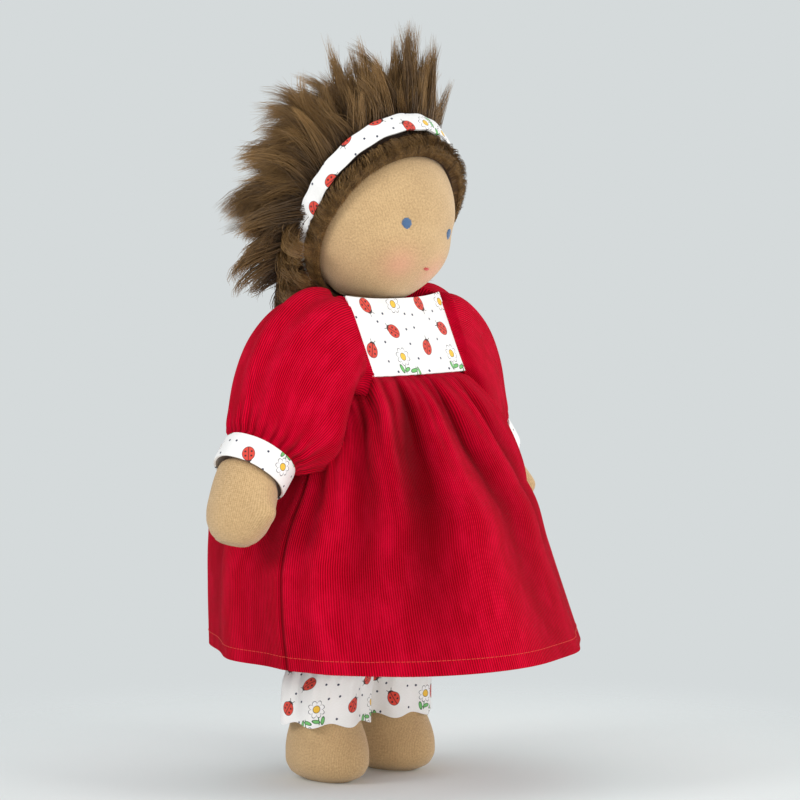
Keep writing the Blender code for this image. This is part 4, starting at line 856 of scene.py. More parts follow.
def raglan_angle(height, lift):
    """The angle from the front at which the bodice meets the raglan seam."""
    reach = raglan_x(height) - 0.0020
    low = np.zeros_like(reach)
    high = np.full_like(reach, math.pi / 2)
    for _ in range(30):
        middle = (low + high) / 2
        inside = bodice(middle, height, lift)[..., 0] < reach
        low, high = np.where(inside, middle, low), np.where(inside, high, middle)
    return np.minimum(low, math.radians(80.0))


YOKE_HALF_WIDTH = 0.0380
CORNER_RISE = 0.0085


def front_seam_y(height):
    """How far forward the front panel's seams lie: the panel slopes out downwards."""
    share = np.clip((height - YOKE_BOTTOM) / (YOKE_TOP + CORNER_RISE - YOKE_BOTTOM), 0, 1)
    return -(0.0337 + (0.0144 - 0.0337) * share)


def back_seam_y(height):
    """How far back the back panels' seams lie."""
    level = np.clip(height, YOKE_BOTTOM, YOKE_TOP)
    return -bodice(raglan_angle(level, CLOTH_WALL), level, CLOTH_WALL)[..., 1]


def make_front_yoke():
    """The flat print front of the bodice, cut to a curved neckline."""
    across = np.linspace(-1, 1, 97)[None, :]
    rise = np.linspace(0, 1, 49)[:, None]
    top = YOKE_TOP + 0.0062 + 0.0023 * np.abs(across) ** 2.5
    height = YOKE_BOTTOM + (top - YOKE_BOTTOM) * rise
    crown = 0.0036 * (1 - across ** 2)
    crease = 0.0007 * bump(across - 0.62 + 0.25 * rise, 0.05) * bump(rise - 0.55, 0.30)
    crease = crease + 0.0004 * np.cos(across * 31 + 2 * np.sin(across * 7)) * bump(rise, 0.22)
    points = stack(0.0376 * across, front_seam_y(height) - crown - CLOTH_WALL - crease, height)
    uv = stack(0.0381 * across, height - YOKE_BOTTOM, 0.0)[..., :2] + np.array([0.040, -0.0048])
    panel = thicken(grid("yoke_front_print", points, PRINT, uv, out=(0.0, 0.0, 0.24)))
    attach(panel, "torso")
    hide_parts("yoke_front")
    return panel


def make_yoke(name, start, end, turn, columns, gap_start, gap_end, shift):
    """A print panel of the bodice, between shares of the span from seam to seam."""
    rise = np.linspace(0, 1, 40)
    height = YOKE_BOTTOM + (YOKE_TOP - YOKE_BOTTOM) * rise
    across = np.linspace(0, 1, columns + 1)[None, :]
    edge = raglan_angle(height, CLOTH_WALL)[:, None]
    inward = gap_start * (1 - across) - gap_end * across
    angle = (start + (end - start) * across) * edge + inward / 0.0446 + turn
    points = bodice(angle, height[:, None], CLOTH_WALL)
    centre = points.mean((0, 1)) * np.array([1.0, 0.0, 1.0])
    uv = cloth_uv(points) + np.array(shift)
    panel = thicken(grid(name, points, PRINT, uv, out=centre))
    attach(panel, "torso")
    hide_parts(name.replace("_print", ""))
    return panel


SKIRT_ROWS = (
    (0.000, 1.00, 1.00, 1.00, 0.00), (0.200, 0.95, 0.96, 0.63, 0.00),
    (0.380, 0.89, 0.925, 0.32, 0.02), (0.540, 0.82, 0.89, 0.14, 0.09),
    (0.640, 0.77, 0.79, 0.10, 0.17), (0.730, 0.72, 0.69, 0.05, 0.22),
    (0.820, 0.645, 0.59, 0.02, 0.22), (0.910, 0.555, 0.48, 0.00, 0.16),
    (1.000, 0.455, 0.315, 0.00, 0.00),
)


SKIRT_FOLDS = (
    (-117.0, -126.0, 0.0125, 0.0030, 6.5, 17.0), (-93.0, -78.0, 0.0085, 0.0040, 5.0, 12.0),
    (-69.0, -56.0, 0.0075, 0.0040, 5.0, 11.0), (-140.0, -152.0, 0.0080, 0.0020, 5.0, 11.0),
    (-166.0, -167.0, 0.0040, 0.0028, 3.0, 5.0), (172.0, 176.0, 0.0060, 0.0050, 6.0, 12.0),
    (142.0, 146.0, 0.0080, 0.0035, 6.0, 13.0), (116.0, 112.0, 0.0095, 0.0040, 6.0, 14.0),
    (88.0, 92.0, 0.0080, 0.0035, 6.0, 13.0), (60.0, 66.0, 0.0095, 0.0040, 6.0, 14.0),
    (34.0, 36.0, 0.0075, 0.0035, 6.0, 12.0), (8.0, 4.0, 0.0070, 0.0045, 6.0, 13.0),
    (-20.0, -16.0, 0.0050, 0.0024, 4.0, 7.0), (-45.0, -38.0, 0.0080, 0.0040, 5.0, 12.0),
)


def degrees_from(angle, middle):
    """Degrees between an angle in radians and a middle in degrees, the short way round."""
    return (np.degrees(angle) - middle + 180.0) % 360.0 - 180.0


def skirt_folds(angle, share):
    """How far the skirt's folds fall in: each fold's hollow runs down from the yoke and widens."""
    depth = 0.0 * angle * share
    for top, hem, deep, hem_deep, wide, hem_wide in SKIRT_FOLDS:
        middle = hem + (top - hem) * share
        width = hem_wide + (wide - hem_wide) * share
        depths = (hem_deep, deep * 0.65, deep, deep * 0.75, deep * 0.15)
        full = np.interp(share, (0.0, 0.35, 0.75, 0.90, 1.0), depths)
        depth = depth + full * bump(degrees_from(angle, middle) / width, 1.0)
    return depth


def skirt_gathers(angle, share):
    """The fine gathers under the yoke, fading out down the skirt."""
    gather = np.cos(angle * 42 + 1.6 * np.sin(angle * 5)) * (0.75 + 0.25 * np.cos(angle * 9 + 1))
    gather = gather + 0.5 * np.cos(angle * 63 + 1.1 * np.sin(angle * 4))
    return gather * np.interp(share, (0.45, 0.70, 0.90, 0.98, 1.0), (0.0, 0.25, 1.0, 0.9, 0.5))


def side_seam(angle):
    """1 on the two side seams, 0 away from them."""
    return sum(bump(degrees_from(angle, seam), 0.8) for seam in (-174.0, -6.0))


def skirt(angle, share):
    """Points of the skirt: angle 0 is the doll's left side, share runs from hem to yoke."""
    across, along = np.cos(angle), np.sin(angle)
    wide, deep, swing, dent = curve(SKIRT_ROWS, share)
    in_front = np.maximum(0.0, -along)
    gathered = np.maximum(0.0, share - 0.60) / 0.40
    outline_x, outline_y = oval(angle, 1.0, 1.0, 2.0 + 2.0 * gathered * np.minimum(1.0, in_front * 2))
    hem = 0.0710 + 0.0045 * (1 + np.cos(angle - math.radians(30.0)))
    under = smooth(0.0355, 0.0384, np.abs(0.0455 * outline_x))
    top = YOKE_BOTTOM - 0.0004 - 0.010 * under
    height = hem + (top - hem) * share
    fold = 0.0030 + 0.0010 * np.cos(angle * 9 + 1.3 * np.sin(angle * 2 + 0.5)) - skirt_folds(angle, share)
    fold = fold + 0.0013 * skirt_gathers(angle, share) - 0.0011 * side_seam(angle)
    fold = fold - 0.0026 * smooth(0.982, 1.0, share)
    side = 1 - dent * np.abs(across) ** 6
    width = 0.100 * wide * side + fold
    depth = 0.102 * deep + fold + 0.0056 * gathered * in_front
    return stack(width * outline_x, depth * outline_y - 0.0195 * swing, height)


def skirt_weight(points):
    """How far each point of the skirt follows the leg on its side."""
    low = smooth(0.190, 0.085, points[:, 2])
    front = smooth(0.010, -0.045, points[:, 1])
    return 0.62 * low * front * smooth(0.0, 0.048, np.abs(points[:, 0]))


def make_skirt(side, label):
    """Half of the gathered skirt, from centre front to centre back, with its turned hem."""
    start = -math.pi / 2
    angle = start + np.linspace(0, math.pi, 331)[None, :] * (1 if side > 0 else -1)
    share = np.linspace(0, 1, 121)[:, None]
    points = skirt(angle, share)
    uv = cloth_uv(points, row=0)
    half = grid("skirt_cord_" + label, points, CORD, uv, out=(0, 0, 0.15))
    # Painted shade: the fold valleys, the hollows between the gathers and the side seam creases are stored
    # here so the cord is darkened there.
    painted_crease_shade = skirt_folds(angle, share) / 0.0105 + 0.45 * np.maximum(0.0, -skirt_gathers(angle, share))
    paint(half, "painted_crease_shade", np.clip(painted_crease_shade + 0.75 * side_seam(angle), 0, 1))
    thicken(half)
    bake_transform(half, "torso", "leg_" + label, start=(0.0, AXIS_Y, 0.19), end=(0.0, AXIS_Y, 0.08))
    weigh(half, skirt_weight(vertices(half)))
    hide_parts("skirt_front", "skirt_back")
    return half


def make_hem_stitches(side, label):
    """The running stitch that holds the hem, seen as short dashes above the edge."""
    points, faces = [], []
    count = 118
    for stitch in range(count):
        turn = np.linspace(0.10, 0.90, 5)
        angle = -math.pi / 2 + side * math.pi * (stitch + turn) / count
        on_cloth = skirt(angle, np.full(5, 0.048))
        out = stack(np.cos(angle), np.sin(angle), 0 * angle)
        lift = 0.00016 * np.sin(math.pi * (turn - 0.1) / 0.8) ** 0.5
        centre = on_cloth + out * lift[:, None]
        base = len(points)
        for row in range(5):
            for step in range(5):
                phase = math.tau * step / 5
                offset = out[row] * math.cos(phase) + np.array([0, 0, 1]) * math.sin(phase)
                points.append(centre[row] + offset * 0.00015)
        for row in range(4):
            for step in range(5):
                a, b = base + row * 5 + step, base + row * 5 + (step + 1) % 5
                faces.append((a, b, b + 5, a + 5))
        faces.append(tuple(range(base + 4, base - 1, -1)))
        faces.append(tuple(range(base + 20, base + 25)))
    mesh = bpy.data.meshes.new("hem_stitches_" + label)
    mesh.from_pydata([tuple(point + AXIS) for point in points], [], faces)
    made = new_object("hem_stitches_" + label, mesh, STITCH)
    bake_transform(made, "torso", "leg_" + label, start=(0.0, AXIS_Y, 0.19), end=(0.0, AXIS_Y, 0.08))
    weigh(made, skirt_weight(vertices(made)))
    return made


SLEEVE_ROWS = (
    (0.00, 0.00, 0.84, 0.74, 1.00), (0.08, 0.20, 0.94, 0.84, 1.06), (0.20, 0.34, 1.18, 0.95, 1.12),
    (0.35, 0.34, 1.44, 1.02, 1.12), (0.50, 0.27, 1.40, 1.06, 1.05), (0.65, 0.16, 1.18, 1.00, 0.95),
    (0.80, 0.07, 0.90, 0.88, 0.84), (0.90, 0.02, 0.74, 0.74, 0.75), (0.95, 0.00, 0.65, 0.65, 0.65),
    (1.00, 0.00, 0.65, 0.65, 0.65),
)


def sleeve_seam(angle):
    """The right sleeve's seam: down the front panel, under the arm and up the back panel."""
    low = YOKE_BOTTOM - ARMHOLE_DROP * 0.95
    rise, reach = oval(angle, 1.0, 1.0, 7.0)
    in_front = smooth(-0.5, 0.6, np.sin(angle))
    high = YOKE_TOP + CORNER_RISE * in_front
    height = (high + low) / 2 + (high - low) / 2 * rise
    across = raglan_x(height) + (YOKE_HALF_WIDTH - raglan_x(height)) * in_front
    along = np.where(reach > 0, front_seam_y(height), back_seam_y(height)) * np.abs(reach)
    lap = smooth(0.2, 0.8, reach)
    return stack(-across - 0.0002 + 0.0014 * lap, along - 0.0018 * lap, height)


def sleeve(share, angle):
    """Points of the right sleeve, from the raglan seam at 0 to the gathered wrist at 1."""
    share = share[:, None]
    drop = YOKE_BOTTOM - ARMHOLE_DROP * 0.65
    middle = (YOKE_TOP + drop) / 2
    seam_centre = np.array([-float(raglan_x(middle)) - 0.0004, 0.0, middle])
    seam_up = np.array([RAGLAN_SLOPE, 0.0, 1.0]) / math.hypot(RAGLAN_SLOPE, 1.0)
    wrist, side_way, _ = arm_frame(np.array(ARM_LENGTH - CUFF_HEIGHT * 0.30))
    lift, high, low, deep_share = curve(SLEEVE_ROWS, share)
    swell = (share * share * (3 - 2 * share))[..., None]
    up = seam_up * (1 - swell) + side_way * swell
    up = up / np.linalg.norm(up, axis=-1, keepdims=True)
    centre = seam_centre * (1 - share[..., None]) + wrist * share[..., None]
    centre = centre + up * (SLEEVE_RADIUS * lift)[..., None]
    puff = np.sin(math.pi * np.minimum(1.0, share ** 0.85))
    grip = np.clip((share - 0.90) * 20, 0, 1)
    wrist_radius = CUFF_RADIUS - 0.0016
    fold = 0.0018 * np.cos(angle * 7 + 1.6 * np.sin(angle * 2) + 1.5 * share) * (0.2 + 0.8 * puff)
    gather = np.cos(angle * 24 + 1.1 * np.sin(angle * 3)) * (0.7 + 0.3 * np.cos(angle * 7))
    fold = fold + 0.0015 * gather * bump(share - 0.92, 0.13)
    under = bump((angle - math.pi) / 0.9, 1.0) * bump(share - 0.12, 0.14)
    fold = fold + 0.0020 * under * np.cos(angle * 13 + share * 9)
    rise = SLEEVE_RADIUS * np.where(np.cos(angle) > 0, high, low) + fold
    reach = SLEEVE_RADIUS * deep_share + fold
    across = np.cos(angle) * (rise + (wrist_radius - rise) * grip)
    deep = np.sin(angle) * (reach + (wrist_radius - reach) * grip)
    puffed = centre + up * across[..., None] - deep[..., None] * BACKWARDS
    seam = sleeve_seam(angle)
    free = smooth(0.0, 0.22, share)[..., None]
    points = seam * (1 - free) + puffed * free
    bulge = bump(angle - 2.45, 0.66) * bump(share - 0.58, 0.25)
    points = points + 0.0130 * bulge[..., None] * np.array([0.25, -0.75, -0.60])
    points[..., 0] = np.minimum(points[..., 0], seam[..., 0] - 0.022 * share)
    return points


def make_sleeve(side, label):
    """A long puffed raglan sleeve, gathered into its cuff."""
    angle = round_angles(241)
    share = np.linspace(0, 1, 111)
    points = mirrored(sleeve(share, angle), side)
    piece = tube("sleeve_cord_" + label, points, CORD)
    share = share[:, None]
    # Painted shade: the hollows of the wrist gathers and the creases under the puff are stored here so the
    # cord is darkened there.
    painted_crease_shade = 0.7 * np.maximum(0, -np.cos(angle * 24 + 1.1 * np.sin(angle * 3))) * bump(share - 0.95, 0.09)
    fan = angle - math.pi + (share - 0.1) * 0.9
    creased = bump(fan + 0.5, 0.55) * bump(share - 0.30, 0.28)
    painted_crease_shade = painted_crease_shade + 0.6 * np.maximum(0, np.cos(fan * 12 + 1)) * creased
    paint(piece, "painted_crease_shade", np.clip(painted_crease_shade, 0, 1)[:, :-1])
    paint(piece, "follow", (smooth(0.0, 0.27, share) + 0 * angle)[:, :-1])
    thicken(piece)
    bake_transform(piece, "torso", "arm_" + label, start=(side * 0.040, AXIS_Y, 0.241),
             end=(side * 0.078, AXIS_Y, 0.241))
    weigh(piece, stored(piece, "follow"))
    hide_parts("sleeve_" + label)
    return piece


def make_cuff(side, label):
    """The print band at the wrist, with its folded edges."""
    share = np.linspace(-0.5, 0.5, 15)
    angle = round_angles(97)
    centre, out, _ = arm_frame(ARM_LENGTH + CUFF_HEIGHT * share)
    radius = (CUFF_RADIUS - 0.0004 * np.abs(2 * share) ** 6)[:, None]
    radius = radius + 0.00025 * np.cos(angle * 5 + 1) * np.cos(angle * 2)
    points = centre[:, None] + out[:, None] * (radius * np.cos(angle))[..., None]
    points = points - (radius * np.sin(angle))[..., None] * BACKWARDS
    points = mirrored(points, side)
    uv = round_uv(points) + np.array([0.0378, -0.0019])
    cuff = thicken(tube("cuff_print_" + label, points, PRINT, uv))
    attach(cuff, "arm_" + label)
    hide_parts("cuff_" + label)
    return cuff


# Bloomers

def make_seat():
    """The bloomers round the hips."""
    share = np.linspace(0, 1, 26)[:, None]
    height = 0.151 + 0.035 * share
    angle = round_angles(121)
    fold = 0.0006 * np.cos(angle * 31 + np.sin(angle * 4)) * bump(share - 0.9, 0.5)
    ease = 0.0052 * (1 - 0.12 * share) + fold
    x, y = oval(angle, TORSO_HALF_WIDTH + ease, TORSO_HALF_DEPTH + ease)
    points = stack(x, y, height + 0 * x)
    seat = thicken(tube("bloomers_print_seat", points, PRINT))
    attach(seat, "torso")
    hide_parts("bloomers_seat")
    return seat


def make_bloomers(side, label):
    """A leg of the bloomers, gathered by its elastic above the ruffled end."""
    share = np.concatenate([np.linspace(0, 0.60, 36)[:-1], np.linspace(0.60, 1.0, 50)])[:, None]
    angle = round_angles(181)
    height = 0.1506 + (0.0330 - 0.1510) * share
    height = height - 0.0012 * smooth(0.9, 1.0, share) * np.cos(angle * 7)
    ankle = (0.1510 - 0.0680) / (0.1510 - 0.0330)
    cinch = bump(share - ankle, 0.06)
    flare = smooth(0.0, 0.4545, (share - ankle) / (1 - ankle))
    half_width = 0.0206 + (0.0151 + 0.0030 - 0.0206) * cinch
    half_depth = 0.0265 + (0.0160 + 0.0030 - 0.0265) * cinch
    half_width = half_width + (0.0240 - half_width) * flare
    half_depth = half_depth + (0.0240 - half_depth) * flare
    wave = np.cos(angle * 7) * 0.0013 * (0.25 + 0.75 * flare)
    wave = wave + 0.0006 * np.cos(angle * 21 + np.sin(angle * 3)) * bump(share - ankle, 0.14)
    middle_x, middle_y = leg_middle(height)
    x = (half_width + wave) * np.cos(angle) + middle_x
    y = (half_depth + wave) * np.sin(angle) + middle_y
    points = mirrored(stack(x, y, height + 0 * x), side)
    uv = round_uv(points) + np.array([0.011 * (1 - side), 0.004])
    leg = thicken(tube("bloomers_print_" + label, points, PRINT, uv))
    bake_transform(leg, "torso", "leg_" + label, start=(0.0, AXIS_Y, 0.1506), end=(0.0, AXIS_Y, 0.118))
    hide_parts("bloomers_" + label)
    return leg


# Wig

BAND = 84.0
BAND_WIDTH = 0.0108
BAND_RADIUS = 0.0565
CAP_EDGE = 100.5
FRINGE_EDGE = 102.5
WILD_EDGE = 77.0
WILD_REACH = 0.0635
DOWN = np.array([0.0, 0.0, -1.0])


def top_share(azimuth):
    """1 over the forehead, 0 at the nape."""
    return 0.5 + 0.5 * np.sin(azimuth)


def make_cap():
    """The dark knitted cap that carries the hair."""
    polar = np.radians(np.concatenate([[2.0], np.linspace(6.0, CAP_EDGE, 44)]))[:, None]
    azimuth = round_angles(129)
    way = polar_way(polar, azimuth)
    rise = 0.0016 + 0.0010 * smooth(CAP_EDGE, 92.0, np.degrees(polar)) + 0 * azimuth
    points = in_head(way * (head_radius(way) + rise)[..., None])
    cap = tube("wig_cap_knit", points, SCALP, cap_start=True)
    thicken(cap, 0.0010)
    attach(cap, "head")
    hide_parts("wig_cap")
    return cap


def make_headband():
    """The print band over the hair, with its folded edges."""
    half = math.degrees(BAND_WIDTH / BAND_RADIUS) * 0.5
    polar = np.radians(np.linspace(BAND - half, BAND + half, 15))[:, None]
    azimuth = round_angles(193)
    way = polar_way(polar, azimuth)
    rise = 0.0012 + 0.0076 * top_share(azimuth) ** 1.5 - 0.0024 * bump(azimuth - 0.65, 0.55)
    place = np.linspace(-1, 1, 15)[:, None]
    crown = 0.0004 * (1 - place ** 4) - 0.0016 * place
    ruck = 0.0003 * np.cos(azimuth * 23 + np.sin(azimuth * 4))
    points = in_head(way * (head_radius(way) + 0.0026 + 0.0016 + rise + crown + ruck)[..., None])
    uv = round_uv(points)[..., ::-1] @ np.array([[0.97, 0.24], [-0.24, 0.97]])
    band = thicken(tube("headband_print", points, PRINT, uv), 0.0014)
    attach(band, "head")
    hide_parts("headband")
    return band


def strands(name, roots, tips, bend, width, tone, cad, segments=5, root_share=0.0):
    """Tapered three-sided strands from roots to tips in the head, each bowed by bend."""
    count = len(roots)
    roots, tips, bend = in_head(roots), in_head(tips), bend @ HEAD_TURN.T
    t = np.linspace(0, 1, segments + 1)[None, :, None]
    bow = (t * (1 - t) * 4)
    spine = roots[:, None] * (1 - t) + tips[:, None] * t + bend[:, None] * bow
    run = unit(np.gradient(spine, axis=1))
    guide = np.array([0.31, 0.52, 0.79])
    side = unit(np.cross(run, guide))
    other = np.cross(run, side)
    size = width[:, None, None] * (1 - 0.93 * t ** 1.6)
    points = np.empty((count, segments + 1, 3, 3))
    for step in range(3):
        phase = math.tau * step / 3
        points[:, :, step] = spine + size * (math.cos(phase) * side + math.sin(phase) * other)
    base = (np.arange(count) * (segments + 1) * 3)[:, None, None]
    row = (np.arange(segments) * 3)[None, :, None]
    low = base + row + np.arange(3)[None, None, :]
    after = base + row + np.roll(np.arange(3), -1)[None, None, :]
    quads = np.stack([low, after, after + 3, low + 3], -1).reshape(-1, 4)
    mesh = bpy.data.meshes.new(name)
    mesh.from_pydata((points.reshape(-1, 3) + AXIS).tolist(), [], quads.tolist())
    made = new_object(name, mesh, HAIR)
    along = np.broadcast_to(t[..., 0][:, :, None], (count, segments + 1, 3))
    along = root_share + (1 - root_share) * along
    paint(made, "along", along)
    paint(made, "tone", np.broadcast_to(tone[:, None, None], along.shape))
    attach(made, "head")
    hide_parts(cad)
    return made


def make_wild_hair(name, rng, azimuth_from, azimuth_to, locks=78, per_lock=78):
    """Long locks that sweep back from the headband and stand up over the crown."""
    azimuth = rng.uniform(azimuth_from, azimuth_to, locks)
    polar = np.arccos(rng.uniform(math.cos(math.radians(WILD_EDGE)), 1.0, locks))
    way = polar_way(polar, azimuth)
    groups = 9
    group_polar = np.arccos(rng.uniform(math.cos(math.radians(75.0)), 0.98, groups))
    group_way = polar_way(group_polar, rng.uniform(azimuth_from, azimuth_to, groups))
    group = (way @ group_way.T).argmax(1)
    flow_way = unit(way * 0.55 + group_way[group] * 0.45)
    back = unit(HAIR_POLE - flow_way * (flow_way @ HAIR_POLE)[:, None])
    rim = smooth(15.0, 76.0, np.degrees(polar))
    upright = bump(azimuth - 1.20, 0.60) * rim
    flow = flow_way + back * (0.20 + 0.60 * rim - 0.55 * upright)[:, None]
    flow = unit(flow + rng.normal(0, 0.17, (groups, 3))[group] + rng.normal(0, 0.10, (locks, 3)))
    top = top_share(azimuth)
    reach = WILD_REACH * (0.64 + 0.20 * np.minimum(1, 2 * top) + 0.10 * np.maximum(0, 2 * top - 1))
    reach = reach * rng.uniform(0.78, 1.14, groups)[group] * rng.uniform(0.62, 1.06, locks)
    reach = reach * (1 - 0.42 * smooth(68.0, WILD_EDGE, np.degrees(polar)) * smooth(0.6, 0.95, top))
    reach = reach * (0.74 + 0.26 * smooth(20.0, 58.0, np.degrees(polar)))
    reach = reach * (1 + 0.16 * bump(azimuth - 1.20, 0.42) * smooth(48.0, 62.0, np.degrees(polar)))
    reach = reach * (1 - 0.20 * bump(azimuth - 2.05, 0.40) - 0.18 * bump(azimuth - 3.2, 0.45))
    low = 1 - smooth(0.55, 0.95, top) * smooth(20.0, 60.0, np.degrees(polar))
    tip = way * (head_radius(way) + 0.002)[:, None] + flow * reach[:, None]
    tip = tip + DOWN * (reach * 0.30 * low * smooth(0.05, 0.5, top))[:, None]
    bend = -DOWN * (reach * 0.20 * low)[:, None] + rng.normal(0, 0.0028, (locks, 3))
    tone = rng.uniform(0, 1, groups)[group] * 0.4 + rng.uniform(0, 1, locks) * 0.6
    pick = np.repeat(np.arange(locks), per_lock)
    total = len(pick)
    root_way = unit(way[pick] + rng.normal(0, 0.074, (total, 3)))
    height = np.minimum(np.arccos(np.clip(root_way @ HAIR_POLE, -1, 1)), math.radians(WILD_EDGE + 0.5))
    across = unit(root_way - HAIR_POLE * (root_way @ HAIR_POLE)[:, None])
    root_way = HAIR_POLE * np.cos(height)[:, None] + across * np.sin(height)[:, None]
    roots = root_way * (head_radius(root_way) + 0.0022)[:, None]
    short = rng.beta(3.2, 1.1, (total, 1)) * 0.62 + 0.42
    fray = rng.normal(0, 0.0014, (total, 3)) * short
    tips = roots * 0.10 + way[pick] * (head_radius(way) * 0.90)[pick][:, None]
    tips = tips + (tip[pick] - tips) * short + fray
    bends = bend[pick] + rng.normal(0, 0.0007, (total, 3))
    width = rng.uniform(0.00019, 0.00033, total)
    tones = np.clip(tone[pick] + rng.normal(0, 0.18, total), 0, 1)
    return strands(name, roots, tips, bends, width, tones, "hair_back", 6)


def make_nape_hair(name, rng, azimuth_from, azimuth_to, locks=64, per_lock=74):
    """Locks at the sides and nape: some are combed over the band's lower end.

    Over is how far a lock is combed over the band, and temple how far it sweeps out and back.
    """
    azimuth = rng.uniform(azimuth_from, azimuth_to, locks)
    polar = np.radians(rng.uniform(66.0, 79.0, locks))
    way = polar_way(polar, azimuth)
    low = 1 - top_share(azimuth)
    degrees = np.degrees(azimuth)
    temple = np.maximum(smooth(207.0, 199.0, degrees), smooth(333.0, 341.0, degrees))
    low_side = smooth(0.97, 0.84, np.abs(np.sin(azimuth)))
    chosen = rng.uniform(0, 1, locks) < np.where(np.cos(azimuth) < 0, 0.64, 0.30)
    over = chosen * (1 - temple) * low_side
    temple = np.maximum(temple, 0.9 * (1 - chosen) * low_side)
    polar = polar + math.radians(9.0) * over
    way = polar_way(polar, azimuth)
    aim = np.array([0.0, -0.10, -0.75]) + np.array([0.0, 0.58, 0.32]) * temple[:, None]
    aim = aim + np.array([0.0, -0.66, 0.26]) * over[:, None]
    flow = unit(way * (0.50 - 0.25 * over)[:, None] + aim + rng.normal(0, 0.13, (locks, 3)))
    reach = (0.017 + 0.007 * low + 0.013 * temple + 0.004 * over) * rng.uniform(0.6, 1.2, locks)
    tip = way * (head_radius(way) + 0.009)[:, None] + flow * reach[:, None]
    bend = way * (reach * 0.28)[:, None] + rng.normal(0, 0.001, (locks, 3))
    pick = np.repeat(np.arange(locks), per_lock)
    total = len(pick)
    root_way = unit(way[pick] + rng.normal(0, 0.060, (total, 3)))
    roots = root_way * (head_radius(root_way) + 0.0075)[:, None]
    short = rng.beta(3.0, 1.1, (total, 1)) * 0.60 + 0.42
    tips = roots * 0.2 + way[pick] * (head_radius(way) * 0.8)[pick][:, None]
    tips = tips + (tip[pick] - tips) * short + rng.normal(0, 0.0016, (total, 3)) * short
    bends = bend[pick] + rng.normal(0, 0.0006, (total, 3))
    width = rng.uniform(0.00019, 0.00031, total)
    tones = np.clip(rng.uniform(0, 0.9, locks)[pick] + rng.normal(0, 0.18, total), 0, 1)
    return strands(name, roots, tips, bends, width, tones, "hair_back", 6)


def make_fringe(name, rng, azimuth_from, azimuth_to, count=8800):
    """The short smooth pile in front of the headband, brushed towards the face."""
    azimuth = rng.uniform(azimuth_from, azimuth_to, count)
    start = np.radians(BAND + rng.uniform(1.0, 17.0, count))
    way = polar_way(start, azimuth)
    pile = 0.0022 + 0.0076 * top_share(azimuth) ** 0.6 + 0.0022 * bump(azimuth - 0.75, 0.65)
    travel = np.radians(rng.uniform(10.0, 15.5, count))
    end = np.minimum(start + travel, math.radians(FRINGE_EDGE) + rng.normal(0, 0.014, count))
    comb = 0.06 + 0.05 * np.sin(azimuth * 5 + 1) + 0.016 * np.sin(azimuth * 23)
    tip_way = polar_way(end, azimuth + comb + rng.normal(0, 0.011, count))
    roots = way * (head_radius(way) + 0.0014)[:, None]
    share = np.clip((math.radians(FRINGE_EDGE + 0.5) - end) / math.radians(17.0), 0, 1)
    rise = 0.0010 + pile * np.sin(math.pi * np.minimum(0.62, 0.10 + 1.05 * share))
    tips = tip_way * (head_radius(tip_way) + rise * rng.uniform(0.90, 1.01, count))[:, None]
    bends = (way + tip_way) / 2 * (0.0010 + pile * 0.24)[:, None] + rng.normal(0, 0.0003, (count, 3))
    width = rng.uniform(0.00019, 0.00031, count)
    tones = np.clip(0.38 + 0.16 * np.sin(azimuth * 37) + rng.normal(0, 0.22, count), 0, 1)
    return strands(name, roots, tips, bends, width, tones, "hair_front", 4, 0.38)


# Studio

BACKGROUND = (0.665, 0.701, 0.708)
CAMERA_PLACE = (-1.4761, -1.3496 + AXIS_Y, 0.3450)
CAMERA_AZIMUTH, CAMERA_PITCH = -48.0, 3.96
CAMERA_LENS = 165.4


def make_camera():
    """The photograph's view: level with the head, from the doll's right front."""
    data = bpy.data.cameras.new("camera")
    data.sensor_width = 36.0
    data.lens = CAMERA_LENS
    data.clip_end = 20.0
    camera = bpy.data.objects.new("camera", data)
    bpy.context.scene.collection.objects.link(camera)
    azimuth, pitch = math.radians(CAMERA_AZIMUTH), math.radians(CAMERA_PITCH)
    level = math.cos(pitch)
    back = Vector((math.sin(azimuth) * level, -math.cos(azimuth) * level, math.sin(pitch)))
    camera.location = CAMERA_PLACE
    camera.rotation_mode = "QUATERNION"
    camera.rotation_quaternion = (-back).to_track_quat("-Z", "Y")
    bpy.context.scene.camera = camera


def make_lamp(name, place, size, watts, colour):
    """A soft square lamp aimed at the doll's middle."""
    data = bpy.data.lights.new(name, "AREA")
    data.size = size
    data.energy = watts
    data.color = colour
    lamp = bpy.data.objects.new(name, data)
    bpy.context.scene.collection.objects.link(lamp)
    lamp.location = place
    lamp.rotation_mode = "QUATERNION"
    lamp.rotation_quaternion = (Vector((0.0, 0.0, 0.2)) - Vector(place)).to_track_quat("-Z", "Y")


